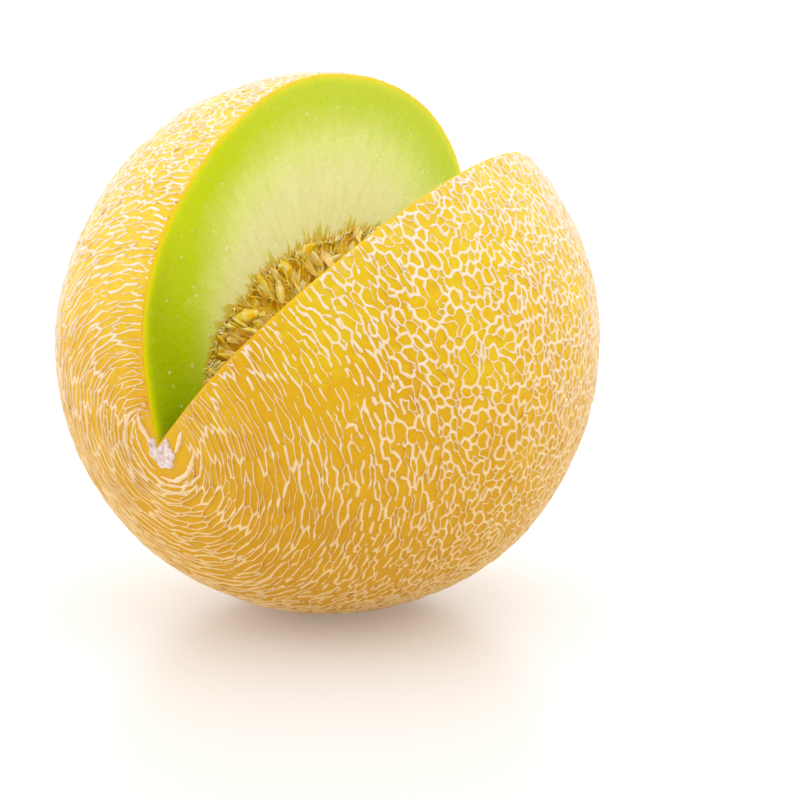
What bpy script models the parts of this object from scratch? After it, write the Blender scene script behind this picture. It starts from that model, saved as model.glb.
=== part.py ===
"""A netted melon with one wedge cut out, lying on its side on a small flat spot.

Metres, +Z up. The origin is the centre of the flat spot, so the fruit stands on Z = 0.
The stem end faces -Y and dips below the horizontal, and the wedge was cut out of the top right.
Every piece is modelled in the fruit's own frame, held by an empty at the fruit's centre:
local Z runs to the stem scar, local X is the fruit's right, and local Y points up and back.
"""

import math
import random

import bmesh
import bpy
from mathutils import Matrix, Vector

# Outside of the fruit, turned about the line from stem scar to blossom end
MEAN_RADIUS = 0.0765
# Each harmonic of the angle from the stem end, and its share of the mean radius
PROFILE_HARMONICS = {1: -0.0019, 2: -0.0218, 3: -0.0031, 4: -0.0180, 6: -0.0115}
PROFILE_STEPS = 36
TURN_STEPS = 72
SCAR_RADIUS = 0.0032
SCAR_DEPTH = 0.0005

# How it lies
STEM_DIP = math.radians(15.8)
REST_DEPTH = 0.0010
REST_CENTRE_Y = 0.0015

# Wedge cut out of it: its inner edge runs along the fruit, just beside the middle line
NOTCH_EDGE = Vector((-0.0012, 0.0016))
NOTCH_LEFT = math.radians(1.3)
NOTCH_RIGHT = math.radians(46.3)
CUT_REACH = 0.130

# Seed cavity, a spindle about the same line
CAVITY_CENTRE = 0.005
CAVITY_HALF_LENGTH = 0.046
CAVITY_RADIUS = 0.030
CAVITY_POWER = 2.4
CAVITY_STEPS = 20
CAVITY_TURN_STEPS = 40

# Pulp in the cavity: it stands back from the cut faces by the depth of the seeds on it
GAP = 0.0003
SEED_POCKET = 0.0054
POCKET_FLOOR = 0.001

# Seeds
SEED_LENGTH = 0.0105
SEED_WIDTH = 0.0046
SEED_THICKNESS = 0.0019
SEED_SIDES = 8
SEED_RINGS = 6
SEED_BURY = 0.0027
SEED_TILT = math.radians(9)
SEED_ROLL = math.radians(30)
SEED_SIZE_SPREAD = 0.06
# Rows on each cut face: seeds, first and last place along the fruit, and depth below the wall
SEED_ROWS = (
    (16, -0.0335, 0.0425, 0.0068),
    (9, -0.0220, 0.0310, 0.0180),
)
SEED_RANDOM = 11


def material(name, colour, roughness):
    """A plain finish of one colour."""
    finish = bpy.data.materials.new(name)
    finish.use_nodes = True
    shader = finish.node_tree.nodes["Principled BSDF"]
    shader.inputs["Base Color"].default_value = (*colour, 1.0)
    shader.inputs["Roughness"].default_value = roughness
    shader.inputs["Metallic"].default_value = 0.0
    return finish


def rind_material():
    """Yellow-orange rind under pale corky netting."""
    return material("netted_rind", (0.80, 0.50, 0.16), 0.55)


def flesh_material():
    """Pale green cut flesh."""
    return material("green_flesh", (0.66, 0.78, 0.28), 0.32)


def pulp_material():
    """Wet golden-brown pulp."""
    return material("seed_pulp", (0.52, 0.26, 0.06), 0.25)


def seed_material():
    """Glossy beige seed coat."""
    return material("seed_coat", (0.86, 0.60, 0.32), 0.28)


def link(name, mesh, finish, parent=None):
    """A new object in the scene, placed in the frame of its parent."""
    made = bpy.data.objects.new(name, mesh)
    made.data.materials.append(finish)
    made.parent = parent
    bpy.context.scene.collection.objects.link(made)
    return made


def outer_radius(angle):
    """Distance from the fruit's centre to its skin, at an angle from the stem end."""
    swell = sum(share * math.cos(k * angle) for k, share in PROFILE_HARMONICS.items())
    return MEAN_RADIUS * (1.0 + swell)


def skin_point(angle):
    """Distance from the middle line and place along it of the skin, with the stem scar's dip."""
    across = outer_radius(angle) * math.sin(angle)
    along = outer_radius(angle) * math.cos(angle)
    if angle < math.pi / 2 and across < SCAR_RADIUS:
        along -= SCAR_DEPTH * (1.0 - (across / SCAR_RADIUS) ** 4)
    return across, along


def fruit_profile():
    """Points of the skin from the blossom end to the stem scar."""
    scar_angle = SCAR_RADIUS / outer_radius(0.0)
    scar = [scar_angle * part for part in (0.0, 0.7, 1.0)]
    rest = [math.pi * step / PROFILE_STEPS for step in range(1, PROFILE_STEPS + 1)]
    return [skin_point(angle) for angle in reversed(scar + rest)]


def cavity_radius(along, gap=0.0):
    """Radius of the seed cavity at a place along the fruit, less a gap to its wall."""
    reach = abs(along - CAVITY_CENTRE) / (CAVITY_HALF_LENGTH - gap)
    return (CAVITY_RADIUS - gap) * max(0.0, 1.0 - reach**CAVITY_POWER) ** (1.0 / CAVITY_POWER)


def cavity_profile(gap):
    """Points of the seed cavity's wall, less a gap, closer together at its two ends."""
    points = []
    for step in range(CAVITY_STEPS + 1):
        along = CAVITY_CENTRE - (CAVITY_HALF_LENGTH - gap) * math.cos(math.pi * step / CAVITY_STEPS)
        points.append((cavity_radius(along, gap), along))
    return points


def turned_mesh(name, points, steps):
    """A closed body turned about local Z from points given as distance out and place along."""
    shape = bmesh.new()
    spine = [shape.verts.new((across, 0.0, along)) for across, along in points]
    edges = [shape.edges.new(pair) for pair in zip(spine, spine[1:])]
    bmesh.ops.spin(
        shape,
        geom=spine + edges,
        axis=(0.0, 0.0, 1.0),
        cent=(0.0, 0.0, 0.0),
        angle=math.tau,
        steps=steps,
        use_duplicate=False,
    )
    bmesh.ops.remove_doubles(shape, verts=shape.verts, dist=1e-6)
    bmesh.ops.recalc_face_normals(shape, faces=shape.faces)
    mesh = bpy.data.meshes.new(name)
    shape.to_mesh(mesh)
    shape.free()
    return mesh


def prism_mesh(name, outline):
    """A bar along local Z whose ends reach past the fruit, with the outline given in X and Y."""
    shape = bmesh.new()
    corners = [shape.verts.new((x, y, -CUT_REACH)) for x, y in outline]
    face = shape.faces.new(corners)
    pushed = bmesh.ops.extrude_face_region(shape, geom=[face])
    far = [item for item in pushed["geom"] if isinstance(item, bmesh.types.BMVert)]
    bmesh.ops.translate(shape, verts=far, vec=(0.0, 0.0, 2.0 * CUT_REACH))
    bmesh.ops.recalc_face_normals(shape, faces=shape.faces)
    mesh = bpy.data.meshes.new(name)
    shape.to_mesh(mesh)
    shape.free()
    return mesh


def out_along(angle):
    """Direction away from the middle line at an angle from local Y towards local X."""
    return Vector((math.sin(angle), math.cos(angle)))


def into_fruit(angle, side):
    """Direction across a cut face into the fruit: side is -1 on the left face, +1 on the right."""
    return side * Vector((math.cos(angle), -math.sin(angle)))


def notch_outline():
    """Cross-section of the wedge that was cut out."""
    left = NOTCH_EDGE + CUT_REACH * out_along(NOTCH_LEFT)
    right = NOTCH_EDGE + CUT_REACH * out_along(NOTCH_RIGHT)
    return [NOTCH_EDGE, right, left]


def pocket_outline():
    """Cross-section of the room that the pulp leaves for the wedge and the seeds beside it."""
    left_foot = NOTCH_EDGE + SEED_POCKET * into_fruit(NOTCH_LEFT, -1)
    right_foot = NOTCH_EDGE + SEED_POCKET * into_fruit(NOTCH_RIGHT, +1)
    return [
        left_foot + POCKET_FLOOR * out_along(NOTCH_LEFT),
        right_foot + POCKET_FLOOR * out_along(NOTCH_RIGHT),
        right_foot + CUT_REACH * out_along(NOTCH_RIGHT),
        left_foot + CUT_REACH * out_along(NOTCH_LEFT),
    ]


def as_cutter(made):
    """Keep a cutting shape out of the model."""
    made.hide_render = True
    made.display_type = "WIRE"
    return made


def cut(made, cutter):
    """Take a cutter's shape out of an object, with the cutter's finish on the new faces."""
    step = made.modifiers.new(cutter.name, "BOOLEAN")
    step.operation = "DIFFERENCE"
    step.solver = "EXACT"
    step.material_mode = "TRANSFER"
    step.object = cutter


def shade_round(mesh, sharp_angle):
    """Smooth shading that keeps the cut edges crisp."""
    mesh.shade_smooth()
    mesh.set_sharp_from_angle(angle=sharp_angle)


def lowest_skin_height():
    """Height of the uncut skin's lowest point above the fruit's centre, which is negative."""
    heights = []
    for step in range(3600):
        angle = math.tau * step / 3600
        heights.append(outer_radius(angle) * math.sin(angle - STEM_DIP))
    return min(heights)


def fruit_frame():
    """The empty at the fruit's centre that turns the fruit's own axes to how it lies."""
    frame = bpy.data.objects.new("fruit_frame", None)
    frame.location = (0.0, -REST_CENTRE_Y, -lowest_skin_height() - REST_DEPTH)
    frame.rotation_euler = (math.pi / 2 + STEM_DIP, 0.0, 0.0)
    bpy.context.scene.collection.objects.link(frame)
    return frame


def floor_cutter(finish):
    """A block below Z = 0, which flattens the spot that the fruit rests on."""
    shape = bmesh.new()
    bmesh.ops.create_cube(shape, size=CUT_REACH)
    bmesh.ops.translate(shape, verts=shape.verts, vec=(0.0, 0.0, -CUT_REACH / 2))
    mesh = bpy.data.meshes.new("floor_cutter")
    shape.to_mesh(mesh)
    shape.free()
    return as_cutter(link("floor_cutter", mesh, finish))


def fruit(frame, rind, flesh):
    """Rind and flesh, which grew as one: the wedge, the seed cavity and the flat spot cut away."""
    mesh = turned_mesh("fruit", fruit_profile(), TURN_STEPS)
    shade_round(mesh, math.radians(30))
    body = link("fruit", mesh, rind, frame)
    cavity = turned_mesh("cavity_cutter", cavity_profile(0.0), CAVITY_TURN_STEPS)
    cut(body, as_cutter(link("cavity_cutter", cavity, flesh, frame)))
    notch = prism_mesh("notch_cutter", notch_outline())
    cut(body, as_cutter(link("notch_cutter", notch, flesh, frame)))
    cut(body, floor_cutter(rind))
    return body


def seed_pulp(frame, pulp):
    """The soft mass of pulp that fills the cavity, less the wedge and the seeds' pockets."""
    mesh = turned_mesh("seed_pulp", cavity_profile(GAP), CAVITY_TURN_STEPS)
    shade_round(mesh, math.radians(40))
    mass = link("seed_pulp", mesh, pulp, frame)
    pocket = prism_mesh("pocket_cutter", pocket_outline())
    cut(mass, as_cutter(link("pocket_cutter", pocket, pulp, frame)))
    return mass


def seed_half_width(part):
    """Half the seed's width where part is 0 at its point and 1 at its round end."""
    return 0.5 * math.sin(math.pi * part**0.80) ** 0.75


def seed_mesh():
    """A flattened teardrop: length along Z with the round end up, width on X, thickness on Y."""
    shape = bmesh.new()
    rings = []
    for ring in range(1, SEED_RINGS):
        part = 0.5 - 0.5 * math.cos(math.pi * ring / SEED_RINGS)
        half = seed_half_width(part)
        turns = [math.tau * side / SEED_SIDES for side in range(SEED_SIDES)]
        height = SEED_LENGTH * (part - 0.5)
        rings.append([
            shape.verts.new((
                SEED_WIDTH * half * math.cos(turn),
                SEED_THICKNESS * half * math.sin(turn),
                height,
            ))
            for turn in turns
        ])
    point = shape.verts.new((0.0, 0.0, -SEED_LENGTH / 2))
    crown = shape.verts.new((0.0, 0.0, SEED_LENGTH / 2))
    for side in range(SEED_SIDES):
        after = (side + 1) % SEED_SIDES
        shape.faces.new((point, rings[0][after], rings[0][side]))
        for lower, upper in zip(rings, rings[1:]):
            shape.faces.new((lower[side], lower[after], upper[after], upper[side]))
        shape.faces.new((crown, rings[-1][side], rings[-1][after]))
    bmesh.ops.recalc_face_normals(shape, faces=shape.faces)
    mesh = bpy.data.meshes.new("seed")
    shape.to_mesh(mesh)
    shape.free()
    mesh.shade_smooth()
    return mesh


def wall_direction(along):
    """Unit direction out through the cavity's wall, as parts out from and along the middle line."""
    step = 0.0005
    slope = (cavity_radius(along + step) - cavity_radius(along - step)) / (2.0 * step)
    return Vector((1.0, -slope)).normalized()


def wall_on_face(angle, along):
    """Distance from the notch's inner edge to the cavity's wall, along a cut face."""
    face_out = out_along(angle)
    offset = NOTCH_EDGE.dot(face_out)
    across = NOTCH_EDGE.length_squared - offset**2
    return math.sqrt(cavity_radius(along) ** 2 - across) - offset


def seed_place(angle, side, along, depth, shake):
    """Where one seed lies: beside a cut face, its length square to the cavity's wall."""
    outward, lengthwise = wall_direction(along)
    face_out = out_along(angle)
    length_axis = Vector((*(outward * face_out), lengthwise))
    inward = Vector((*into_fruit(angle, side), 0.0))
    stack_axis = length_axis.cross(inward)
    turn = Matrix((inward, stack_axis, length_axis)).transposed()
    turn = turn @ Matrix.Rotation(shake.uniform(-SEED_TILT, SEED_TILT), 3, "X")
    turn = turn @ Matrix.Rotation(shake.uniform(-SEED_ROLL, SEED_ROLL), 3, "Z")
    wall = NOTCH_EDGE + (wall_on_face(angle, along) - depth * outward) * face_out
    centre = Vector((*wall, along - depth * lengthwise)) + SEED_BURY * inward
    size = 1.0 + shake.uniform(-SEED_SIZE_SPREAD, 0.0)
    return Matrix.Translation(centre) @ turn.to_4x4() @ Matrix.Scale(size, 4)


def seeds(frame, coat):
    """Rows of seeds standing on edge in the pockets beside the two cut faces."""
    shake = random.Random(SEED_RANDOM)
    mesh = seed_mesh()
    mesh.materials.append(coat)
    number = 0
    for angle, side in ((NOTCH_LEFT, -1), (NOTCH_RIGHT, +1)):
        for count, first, last, depth in SEED_ROWS:
            for step in range(count):
                number += 1
                along = first + (last - first) * step / (count - 1)
                made = bpy.data.objects.new(f"seed_{number:02d}", mesh)
                made.parent = frame
                made.matrix_local = seed_place(angle, side, along, depth, shake)
                bpy.context.scene.collection.objects.link(made)


def main():
    """Clear the scene and model the melon."""
    for old in list(bpy.data.objects):
        bpy.data.objects.remove(old, do_unlink=True)
    rind = rind_material()
    flesh = flesh_material()
    frame = fruit_frame()
    fruit(frame, rind, flesh)
    seed_pulp(frame, pulp_material())
    seeds(frame, seed_material())


main()
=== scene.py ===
import math

import bpy
import numpy as np
from mathutils import Matrix, Vector, geometry, noise


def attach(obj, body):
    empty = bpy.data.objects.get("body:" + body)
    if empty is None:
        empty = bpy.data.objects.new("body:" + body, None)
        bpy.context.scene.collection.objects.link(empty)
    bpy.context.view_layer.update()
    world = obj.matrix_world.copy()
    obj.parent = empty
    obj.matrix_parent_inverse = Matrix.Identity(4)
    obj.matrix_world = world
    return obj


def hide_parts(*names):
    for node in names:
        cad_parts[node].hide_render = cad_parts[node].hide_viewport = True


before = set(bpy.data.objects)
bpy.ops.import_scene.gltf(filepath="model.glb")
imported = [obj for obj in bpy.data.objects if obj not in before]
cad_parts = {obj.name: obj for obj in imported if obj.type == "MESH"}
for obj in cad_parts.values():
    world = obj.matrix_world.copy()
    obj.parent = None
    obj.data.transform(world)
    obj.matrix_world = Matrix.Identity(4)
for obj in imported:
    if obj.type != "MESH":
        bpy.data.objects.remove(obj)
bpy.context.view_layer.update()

# Rind and flesh
# The fruit is one grown body: a thin tough rind over firm green flesh, hollow in the middle for its seeds.
# A knife took one wedge out of it along its length, and it rests on a small flat spot under its side.

FRUIT_CENTRE = Vector((0.0, -0.0015, 0.07638))
STEM_DIP = math.radians(15.8)
RIGHT_AXIS = Vector((1.0, 0.0, 0.0))
UP_AXIS = Vector((0.0, -math.sin(STEM_DIP), math.cos(STEM_DIP)))
STEM_AXIS = Vector((0.0, -math.cos(STEM_DIP), -math.sin(STEM_DIP)))
OWN_FRAME = Matrix.Translation(FRUIT_CENTRE) @ Matrix(
    (RIGHT_AXIS, UP_AXIS, STEM_AXIS)
).transposed().to_4x4()

MEAN_RADIUS = 0.0765
PROFILE_HARMONICS = {1: -0.0019, 2: -0.0218, 3: -0.0031, 4: -0.0180, 6: -0.0115}
LUMP_HEIGHT = 0.0007
LUMP_SCALE = 3.2

NOTCH_EDGE = np.array([-0.0012, 0.0016])
NOTCH_LEFT = math.radians(1.3)
NOTCH_RIGHT = math.radians(46.3)

CAVITY_CENTRE = 0.005
CAVITY_HALF_LENGTH = 0.046
CAVITY_RADIUS = 0.030
CAVITY_POWER = 2.4
CAVITY_WAVES = ((3.0, 2.0, 0.3, 0.022), (7.0, 3.0, 1.9, 0.016), (11.0, 5.0, 4.0, 0.012))

RIM_STEP = 0.00035
RIM_ROUNDING = 0.00012
MM_IN_A_METRE = 1000.0


def skin_reach(angle):
    """Distance from the fruit's centre to its skin, at an angle from the stem end."""
    swell = sum(share * np.cos(k * angle) for k, share in PROFILE_HARMONICS.items())
    return MEAN_RADIUS * (1.0 + swell)


def skin_depth(own):
    """How far points lie below the skin, measured towards the fruit's centre."""
    reach = np.linalg.norm(own, axis=-1)
    angle = np.arccos(np.clip(own[..., 2] / np.maximum(reach, 1e-9), -1.0, 1.0))
    return skin_reach(angle) - reach


def cavity_clearance(own):
    """How far points lie outside the seed cavity's slightly wavy wall, negative inside it."""
    across = np.hypot(own[..., 0], own[..., 1])
    turn = np.arctan2(own[..., 0], own[..., 1])
    part = np.clip(np.abs(own[..., 2] - CAVITY_CENTRE) / CAVITY_HALF_LENGTH, 0.0, 1.0)
    wall = CAVITY_RADIUS * (1.0 - part**CAVITY_POWER) ** (1.0 / CAVITY_POWER)
    place = own[..., 2] / CAVITY_HALF_LENGTH
    for along, around, start, size in CAVITY_WAVES:
        wall = wall * (1.0 + size * np.sin(along * 2.0 * place + around * turn + start))
    return across - wall


RAY_HALVINGS = 40


def section_points(turns, angles, edge, start, reach, outside):
    """Points where rays in the half-planes about an edge along the fruit leave a body.

    The rays start on that edge, at a place along it, and outside tells what is past the body's end.
    """
    turn, angle = np.meshgrid(turns, angles, indexing="ij")
    ways = np.stack(
        [np.sin(turn) * np.sin(angle), np.cos(turn) * np.sin(angle), np.cos(angle)], axis=-1
    )
    origin = np.array([*edge, start])
    near = np.zeros(turn.shape)
    far = np.full(turn.shape, reach)
    for _ in range(RAY_HALVINGS):
        middle = (near + far) / 2.0
        beyond = outside(origin + middle[..., None] * ways)
        far = np.where(beyond, middle, far)
        near = np.where(beyond, near, middle)
    return origin + far[..., None] * ways


def grid_faces(rows):
    """Quads between neighbouring rows of vertex numbers, without those that a pole closes up."""
    faces = []
    for one, two in zip(rows, rows[1:]):
        for a, b, c, d in zip(one, two, two[1:], one[1:]):
            corners = list(dict.fromkeys((a, b, c, d)))
            if len(corners) > 2:
                faces.append(corners)
    return faces


FIRST_COLUMN = RIM_STEP / MEAN_RADIUS
COLUMNS = 236
SECTION_STEPS = 170
CUT_ROWS = 58
CUT_ROW_POWER = 1.5
CAVITY_COLUMNS = 60
CAVITY_FIRST_STEP = 12
NOTCH_END = NOTCH_LEFT + 2.0 * math.pi
PAST_THE_SKIN = 0.12

skin_turns = np.concatenate([
    [NOTCH_RIGHT],
    np.linspace(NOTCH_RIGHT + FIRST_COLUMN, NOTCH_END - FIRST_COLUMN, COLUMNS),
    [NOTCH_END],
])
section_angles = np.linspace(0.0, math.pi, SECTION_STEPS + 1)
skin = section_points(
    skin_turns, section_angles, NOTCH_EDGE, 0.0, PAST_THE_SKIN, lambda own: skin_depth(own) < 0.0
)
cavity_steps = SECTION_STEPS - 2 * CAVITY_FIRST_STEP
cavity_turns = np.linspace(NOTCH_RIGHT, NOTCH_END, CAVITY_COLUMNS + 1)
cavity_angles = np.linspace(0.0, math.pi, cavity_steps + 1)
cavity = section_points(
    cavity_turns,
    cavity_angles,
    NOTCH_EDGE,
    CAVITY_CENTRE,
    PAST_THE_SKIN,
    lambda own: cavity_clearance(own) > 0.0,
)


class Body:
    """Vertices and faces of one mesh, gathered patch by patch."""

    def __init__(self):
        self.points = []
        self.faces = []

    def add(self, points):
        """Add points and return their numbers."""
        first = len(self.points)
        self.points.extend(points)
        return list(range(first, first + len(points)))


def edge_line(first, last, steps):
    """Points along the notch's inner edge, between two places along the fruit."""
    places = np.linspace(first, last, steps + 1)[1:-1]
    return [np.array([*NOTCH_EDGE, place]) for place in places]


fruit = Body()
front_tip, back_tip = fruit.add([skin[0, 0], skin[0, -1]])
cavity_front, cavity_back = fruit.add([cavity[0, 0], cavity[0, -1]])
front_edge = fruit.add(edge_line(skin[0, 0, 2], cavity[0, 0, 2], CAVITY_FIRST_STEP))
back_edge = fruit.add(edge_line(cavity[0, -1, 2], skin[0, -1, 2], CAVITY_FIRST_STEP))

skin_rows = [[front_tip, *fruit.add(list(row[1:-1])), back_tip] for row in skin]
cavity_rows = [[cavity_front, *fruit.add(list(row[1:-1])), cavity_back] for row in cavity]
fruit.faces += grid_faces(skin_rows)
fruit.faces += grid_faces(cavity_rows[::-1])


def cut_face(rim_row, cavity_row):
    """Rows of vertices from the skin's rim down to the notch's inner edge and the cavity."""
    inner = [front_tip, *front_edge, *cavity_row, *back_edge, back_tip]
    rim = np.array([fruit.points[n] for n in rim_row])
    foot = np.array([fruit.points[n] for n in inner])
    rows = [rim_row]
    for step in range(1, CUT_ROWS):
        share = (step / CUT_ROWS) ** CUT_ROW_POWER
        middle = list(rim[1:-1] + share * (foot[1:-1] - rim[1:-1]))
        rows.append([front_tip, *fruit.add(middle), back_tip])
    return [*rows, inner]


right_rows = cut_face(skin_rows[0], cavity_rows[0])
left_rows = cut_face(skin_rows[-1], cavity_rows[-1])
fruit.faces += grid_faces(right_rows[::-1])
fruit.faces += grid_faces(left_rows)

RIM_MARK = 0.5
CUT_MARK = 1.0

own_points = np.array(fruit.points)
depth = skin_depth(own_points)
beside_cavity = cavity_clearance(own_points)
on_cut = np.zeros(len(own_points))
for row in right_rows[1:] + left_rows[1:]:
    on_cut[row] = CUT_MARK
for rows in (skin_rows[0], skin_rows[-1]):
    on_cut[rows] = RIM_MARK
    own_points[rows] *= 1.0 - RIM_ROUNDING / MEAN_RADIUS

fruit_mesh = bpy.data.meshes.new("fruit_body")
fruit_mesh.from_pydata(own_points, [], fruit.faces)


def add_values(mesh, name, values):
    """Store one number for each vertex, for the materials to read."""
    layer = mesh.attributes.new(name, "FLOAT", "POINT")
    layer.data.foreach_set("value", np.asarray(values, np.float32))


add_values(fruit_mesh, "skin_depth", depth * MM_IN_A_METRE)
add_values(fruit_mesh, "from_cavity", beside_cavity * MM_IN_A_METRE)
add_values(fruit_mesh, "on_cut", on_cut)


def new_object(name, mesh):
    """Put a mesh in the scene as a piece of its own."""
    made = bpy.data.objects.new(name, mesh)
    bpy.context.scene.collection.objects.link(made)
    return made


def feed(tree, node, key, value):
    """Set one input of a node, or link it to another node's output."""
    if isinstance(key, int):
        socket = node.inputs[key]
    else:
        socket = next(s for s in node.inputs if s.name == key and s.enabled)
    if isinstance(value, bpy.types.NodeSocket):
        tree.links.new(value, socket)
    else:
        socket.default_value = value


def add_node(tree, kind, feeds=None, **settings):
    """A new node with its settings, and its inputs fed by name or number."""
    node = tree.nodes.new(kind)
    for name, value in settings.items():
        setattr(node, name, value)
    for key, value in (feeds or {}).items():
        feed(tree, node, key, value)
    return node


def out(node, name=None):
    """The output of a node that is in use, by name where it has several."""
    return next(s for s in node.outputs if s.enabled and name in (None, s.name))


def calc(tree, operation, *values):
    """A number worked out by a math node."""
    return out(add_node(tree, "ShaderNodeMath", dict(enumerate(values)), operation=operation))


def plus(tree, one, two):
    """The sum of two numbers."""
    return calc(tree, "ADD", one, two)


def minus(tree, one, two):
    """The first number less the second."""
    return calc(tree, "SUBTRACT", one, two)


def times(tree, *values):
    """The product of numbers."""
    product = values[0]
    for value in values[1:]:
        product = calc(tree, "MULTIPLY", product, value)
    return product


def vec(tree, operation, *values):
    """A vector or a number worked out by a vector math node."""
    node = add_node(tree, "ShaderNodeVectorMath", operation=operation)
    for key, value in enumerate(values):
        feed(tree, node, 3 if operation == "SCALE" and key == 1 else key, value)
    return out(node)


def geometry_tree(name, inputs):
    """An empty Geometry Nodes tree with named inputs, and the nodes at its two ends."""
    tree = bpy.data.node_groups.new(name, "GeometryNodeTree")
    tree.interface.new_socket("Geometry", in_out="INPUT", socket_type="NodeSocketGeometry")
    for label, kind in inputs.items():
        tree.interface.new_socket(label, in_out="INPUT", socket_type=kind)
    tree.interface.new_socket("Geometry", in_out="OUTPUT", socket_type="NodeSocketGeometry")
    return tree, tree.nodes.new("NodeGroupInput"), tree.nodes.new("NodeGroupOutput")


def end_tree(tree, result, geometry, material):
    """Give a tree's geometry its material and make the copies in it real, as its last steps."""
    made = add_node(tree, "GeometryNodeSetMaterial", {"Geometry": geometry, "Material": material})
    whole = add_node(tree, "GeometryNodeRealizeInstances", {"Geometry": out(made)})
    tree.links.new(out(whole), result.inputs[0])
    return tree


def run_tree(carrier, tree, values, name):
    """Run a tree on an object with its inputs set, and return the result as a plain mesh."""
    step = carrier.modifiers.new(tree.name, "NODES")
    step.node_group = tree
    for item in tree.interface.items_tree:
        if item.in_out == "INPUT" and item.name in values:
            step[item.identifier] = values[item.name]
    bpy.context.view_layer.update()
    graph = bpy.context.evaluated_depsgraph_get()
    mesh = bpy.data.meshes.new_from_object(
        carrier.evaluated_get(graph), preserve_all_data_layers=True, depsgraph=graph
    )
    carrier.modifiers.remove(step)
    mesh.name = name
    return mesh


def place_noise(tree, place, scale, detail):
    """Noise at a place, from 0 to 1."""
    node = add_node(tree, "ShaderNodeTexNoise", {"Vector": place, "Scale": scale, "Detail": detail})
    return out(node, "Fac")


def lump_height(tree, way, height):
    """Height of the skin's slow swells, as a number for a direction from the fruit's centre."""
    swell = place_noise(tree, way, LUMP_SCALE, 1.0)
    return times(tree, minus(tree, swell, 0.5), times(tree, height, 2.0))


def position(tree):
    """Where each element is."""
    return out(add_node(tree, "GeometryNodeInputPosition"))


def moved(tree, geometry, **feeds):
    """The geometry with its points moved: a Position or an Offset, and perhaps a Selection."""
    return out(add_node(tree, "GeometryNodeSetPosition", {"Geometry": geometry, **feeds}))


def swollen_tree(material):
    """Moves every point of the fruit out or in with the skin's slow swells."""
    tree, given, result = geometry_tree("slow_swells", {"Swell height": "NodeSocketFloat"})
    place = position(tree)
    lump = lump_height(tree, vec(tree, "NORMALIZE", place), given.outputs["Swell height"])
    lump = calc(tree, "DIVIDE", lump, MEAN_RADIUS)
    swollen = moved(tree, given.outputs[0], Offset=vec(tree, "SCALE", place, lump))
    return end_tree(tree, result, swollen, material)


def numbers(mesh, name):
    """The numbers that a mesh stores for its vertices."""
    values = np.zeros(len(mesh.vertices), np.float32)
    mesh.attributes[name].data.foreach_get("value", values)
    return values


def rest_on_floor(mesh, lowest):
    """Flatten a mesh where it would go below its lowest height, a number or one for each vertex."""
    places = np.zeros(len(mesh.vertices) * 3, np.float32)
    mesh.vertices.foreach_get("co", places)
    heights = places[2::3]
    places[2::3] = np.maximum(heights, lowest)
    mesh.vertices.foreach_set("co", places)


def shader_tree(name, roughness):
    """A new material, its node tree and its Principled shader."""
    material = bpy.data.materials.new(name)
    material.use_nodes = True
    tree = material.node_tree
    shader = tree.nodes["Principled BSDF"]
    shader.inputs["Roughness"].default_value = roughness
    return material, tree, shader


def paint(red, green, blue):
    """A colour given as screen values from 0 to 255, as the light values that shaders take."""
    parts = []
    for part in (red, green, blue):
        part /= 255.0
        parts.append(part / 12.92 if part <= 0.04045 else ((part + 0.055) / 1.055) ** 2.4)
    return (*parts, 1.0)


def ramp(tree, value, stops, smooth=True):
    """Colours along a number, from stops that each give a place and a colour's screen values."""
    node = add_node(tree, "ShaderNodeValToRGB", {0: value})
    node.color_ramp.interpolation = "EASE" if smooth else "LINEAR"
    points = node.color_ramp.elements
    while len(points) < len(stops):
        points.new(0.5)
    for point, (place, colour) in zip(points, stops):
        point.position = place
        point.color = paint(*colour)
    return out(node, "Color")


def scaled(tree, value, low, high, to_low=0.0, to_high=1.0):
    """A number moved from one range to another and held inside it."""
    node = add_node(
        tree, "ShaderNodeMapRange", {0: value, 1: low, 2: high, 3: to_low, 4: to_high}, clamp=True
    )
    return out(node, "Result")


def blended(tree, share, one, two):
    """Two colours mixed by a share."""
    node = add_node(tree, "ShaderNodeMix", data_type="RGBA")
    feed(tree, node, 0, share)
    feed(tree, node, 6, one)
    feed(tree, node, 7, two)
    return node.outputs[2]


def smooth_step(tree, value, low, high, to_low=0.0, to_high=1.0):
    """A number that eases from one value to another between two limits."""
    node = add_node(
        tree,
        "ShaderNodeMapRange",
        {0: value, 1: low, 2: high, 3: to_low, 4: to_high},
        interpolation_type="SMOOTHSTEP",
    )
    return out(node, "Result")


def split_vector(tree, value):
    """The three parts of a vector."""
    return add_node(tree, "ShaderNodeSeparateXYZ", {0: value}).outputs


def joined(tree, x, y, z):
    """A vector from its three parts."""
    return out(add_node(tree, "ShaderNodeCombineXYZ", {0: x, 1: y, 2: z}))


def attribute(tree, name):
    """A number stored on the mesh."""
    return out(add_node(tree, "ShaderNodeAttribute", attribute_name=name), "Fac")


def object_place(tree):
    """A place on the piece, in metres from the scene's origin."""
    return out(add_node(tree, "ShaderNodeTexCoord"), "Object")


def object_noise(tree, scale, detail=2.0, stretch=(1.0, 1.0, 1.0), roughness=0.5):
    """Noise fixed to the piece, finer along an axis with a larger stretch."""
    sized = add_node(tree, "ShaderNodeMapping", {"Vector": object_place(tree), "Scale": stretch})
    node = add_node(
        tree,
        "ShaderNodeTexNoise",
        {"Vector": out(sized), "Scale": scale, "Detail": detail, "Roughness": roughness},
    )
    return out(node, "Fac")


def bumps(tree, shader, height, strength, distance):
    """Fine relief on a surface that is too small to model."""
    node = add_node(
        tree, "ShaderNodeBump", {"Strength": strength, "Distance": distance, "Height": height}
    )
    feed(tree, shader, "Normal", out(node))


def glow_through(shader, weight, radius):
    """Let light spread under a surface, as far as a radius for red, green and blue."""
    shader.inputs["Subsurface Weight"].default_value = weight
    shader.inputs["Subsurface Radius"].default_value = radius
    shader.inputs["Subsurface Scale"].default_value = 1.0


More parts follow.
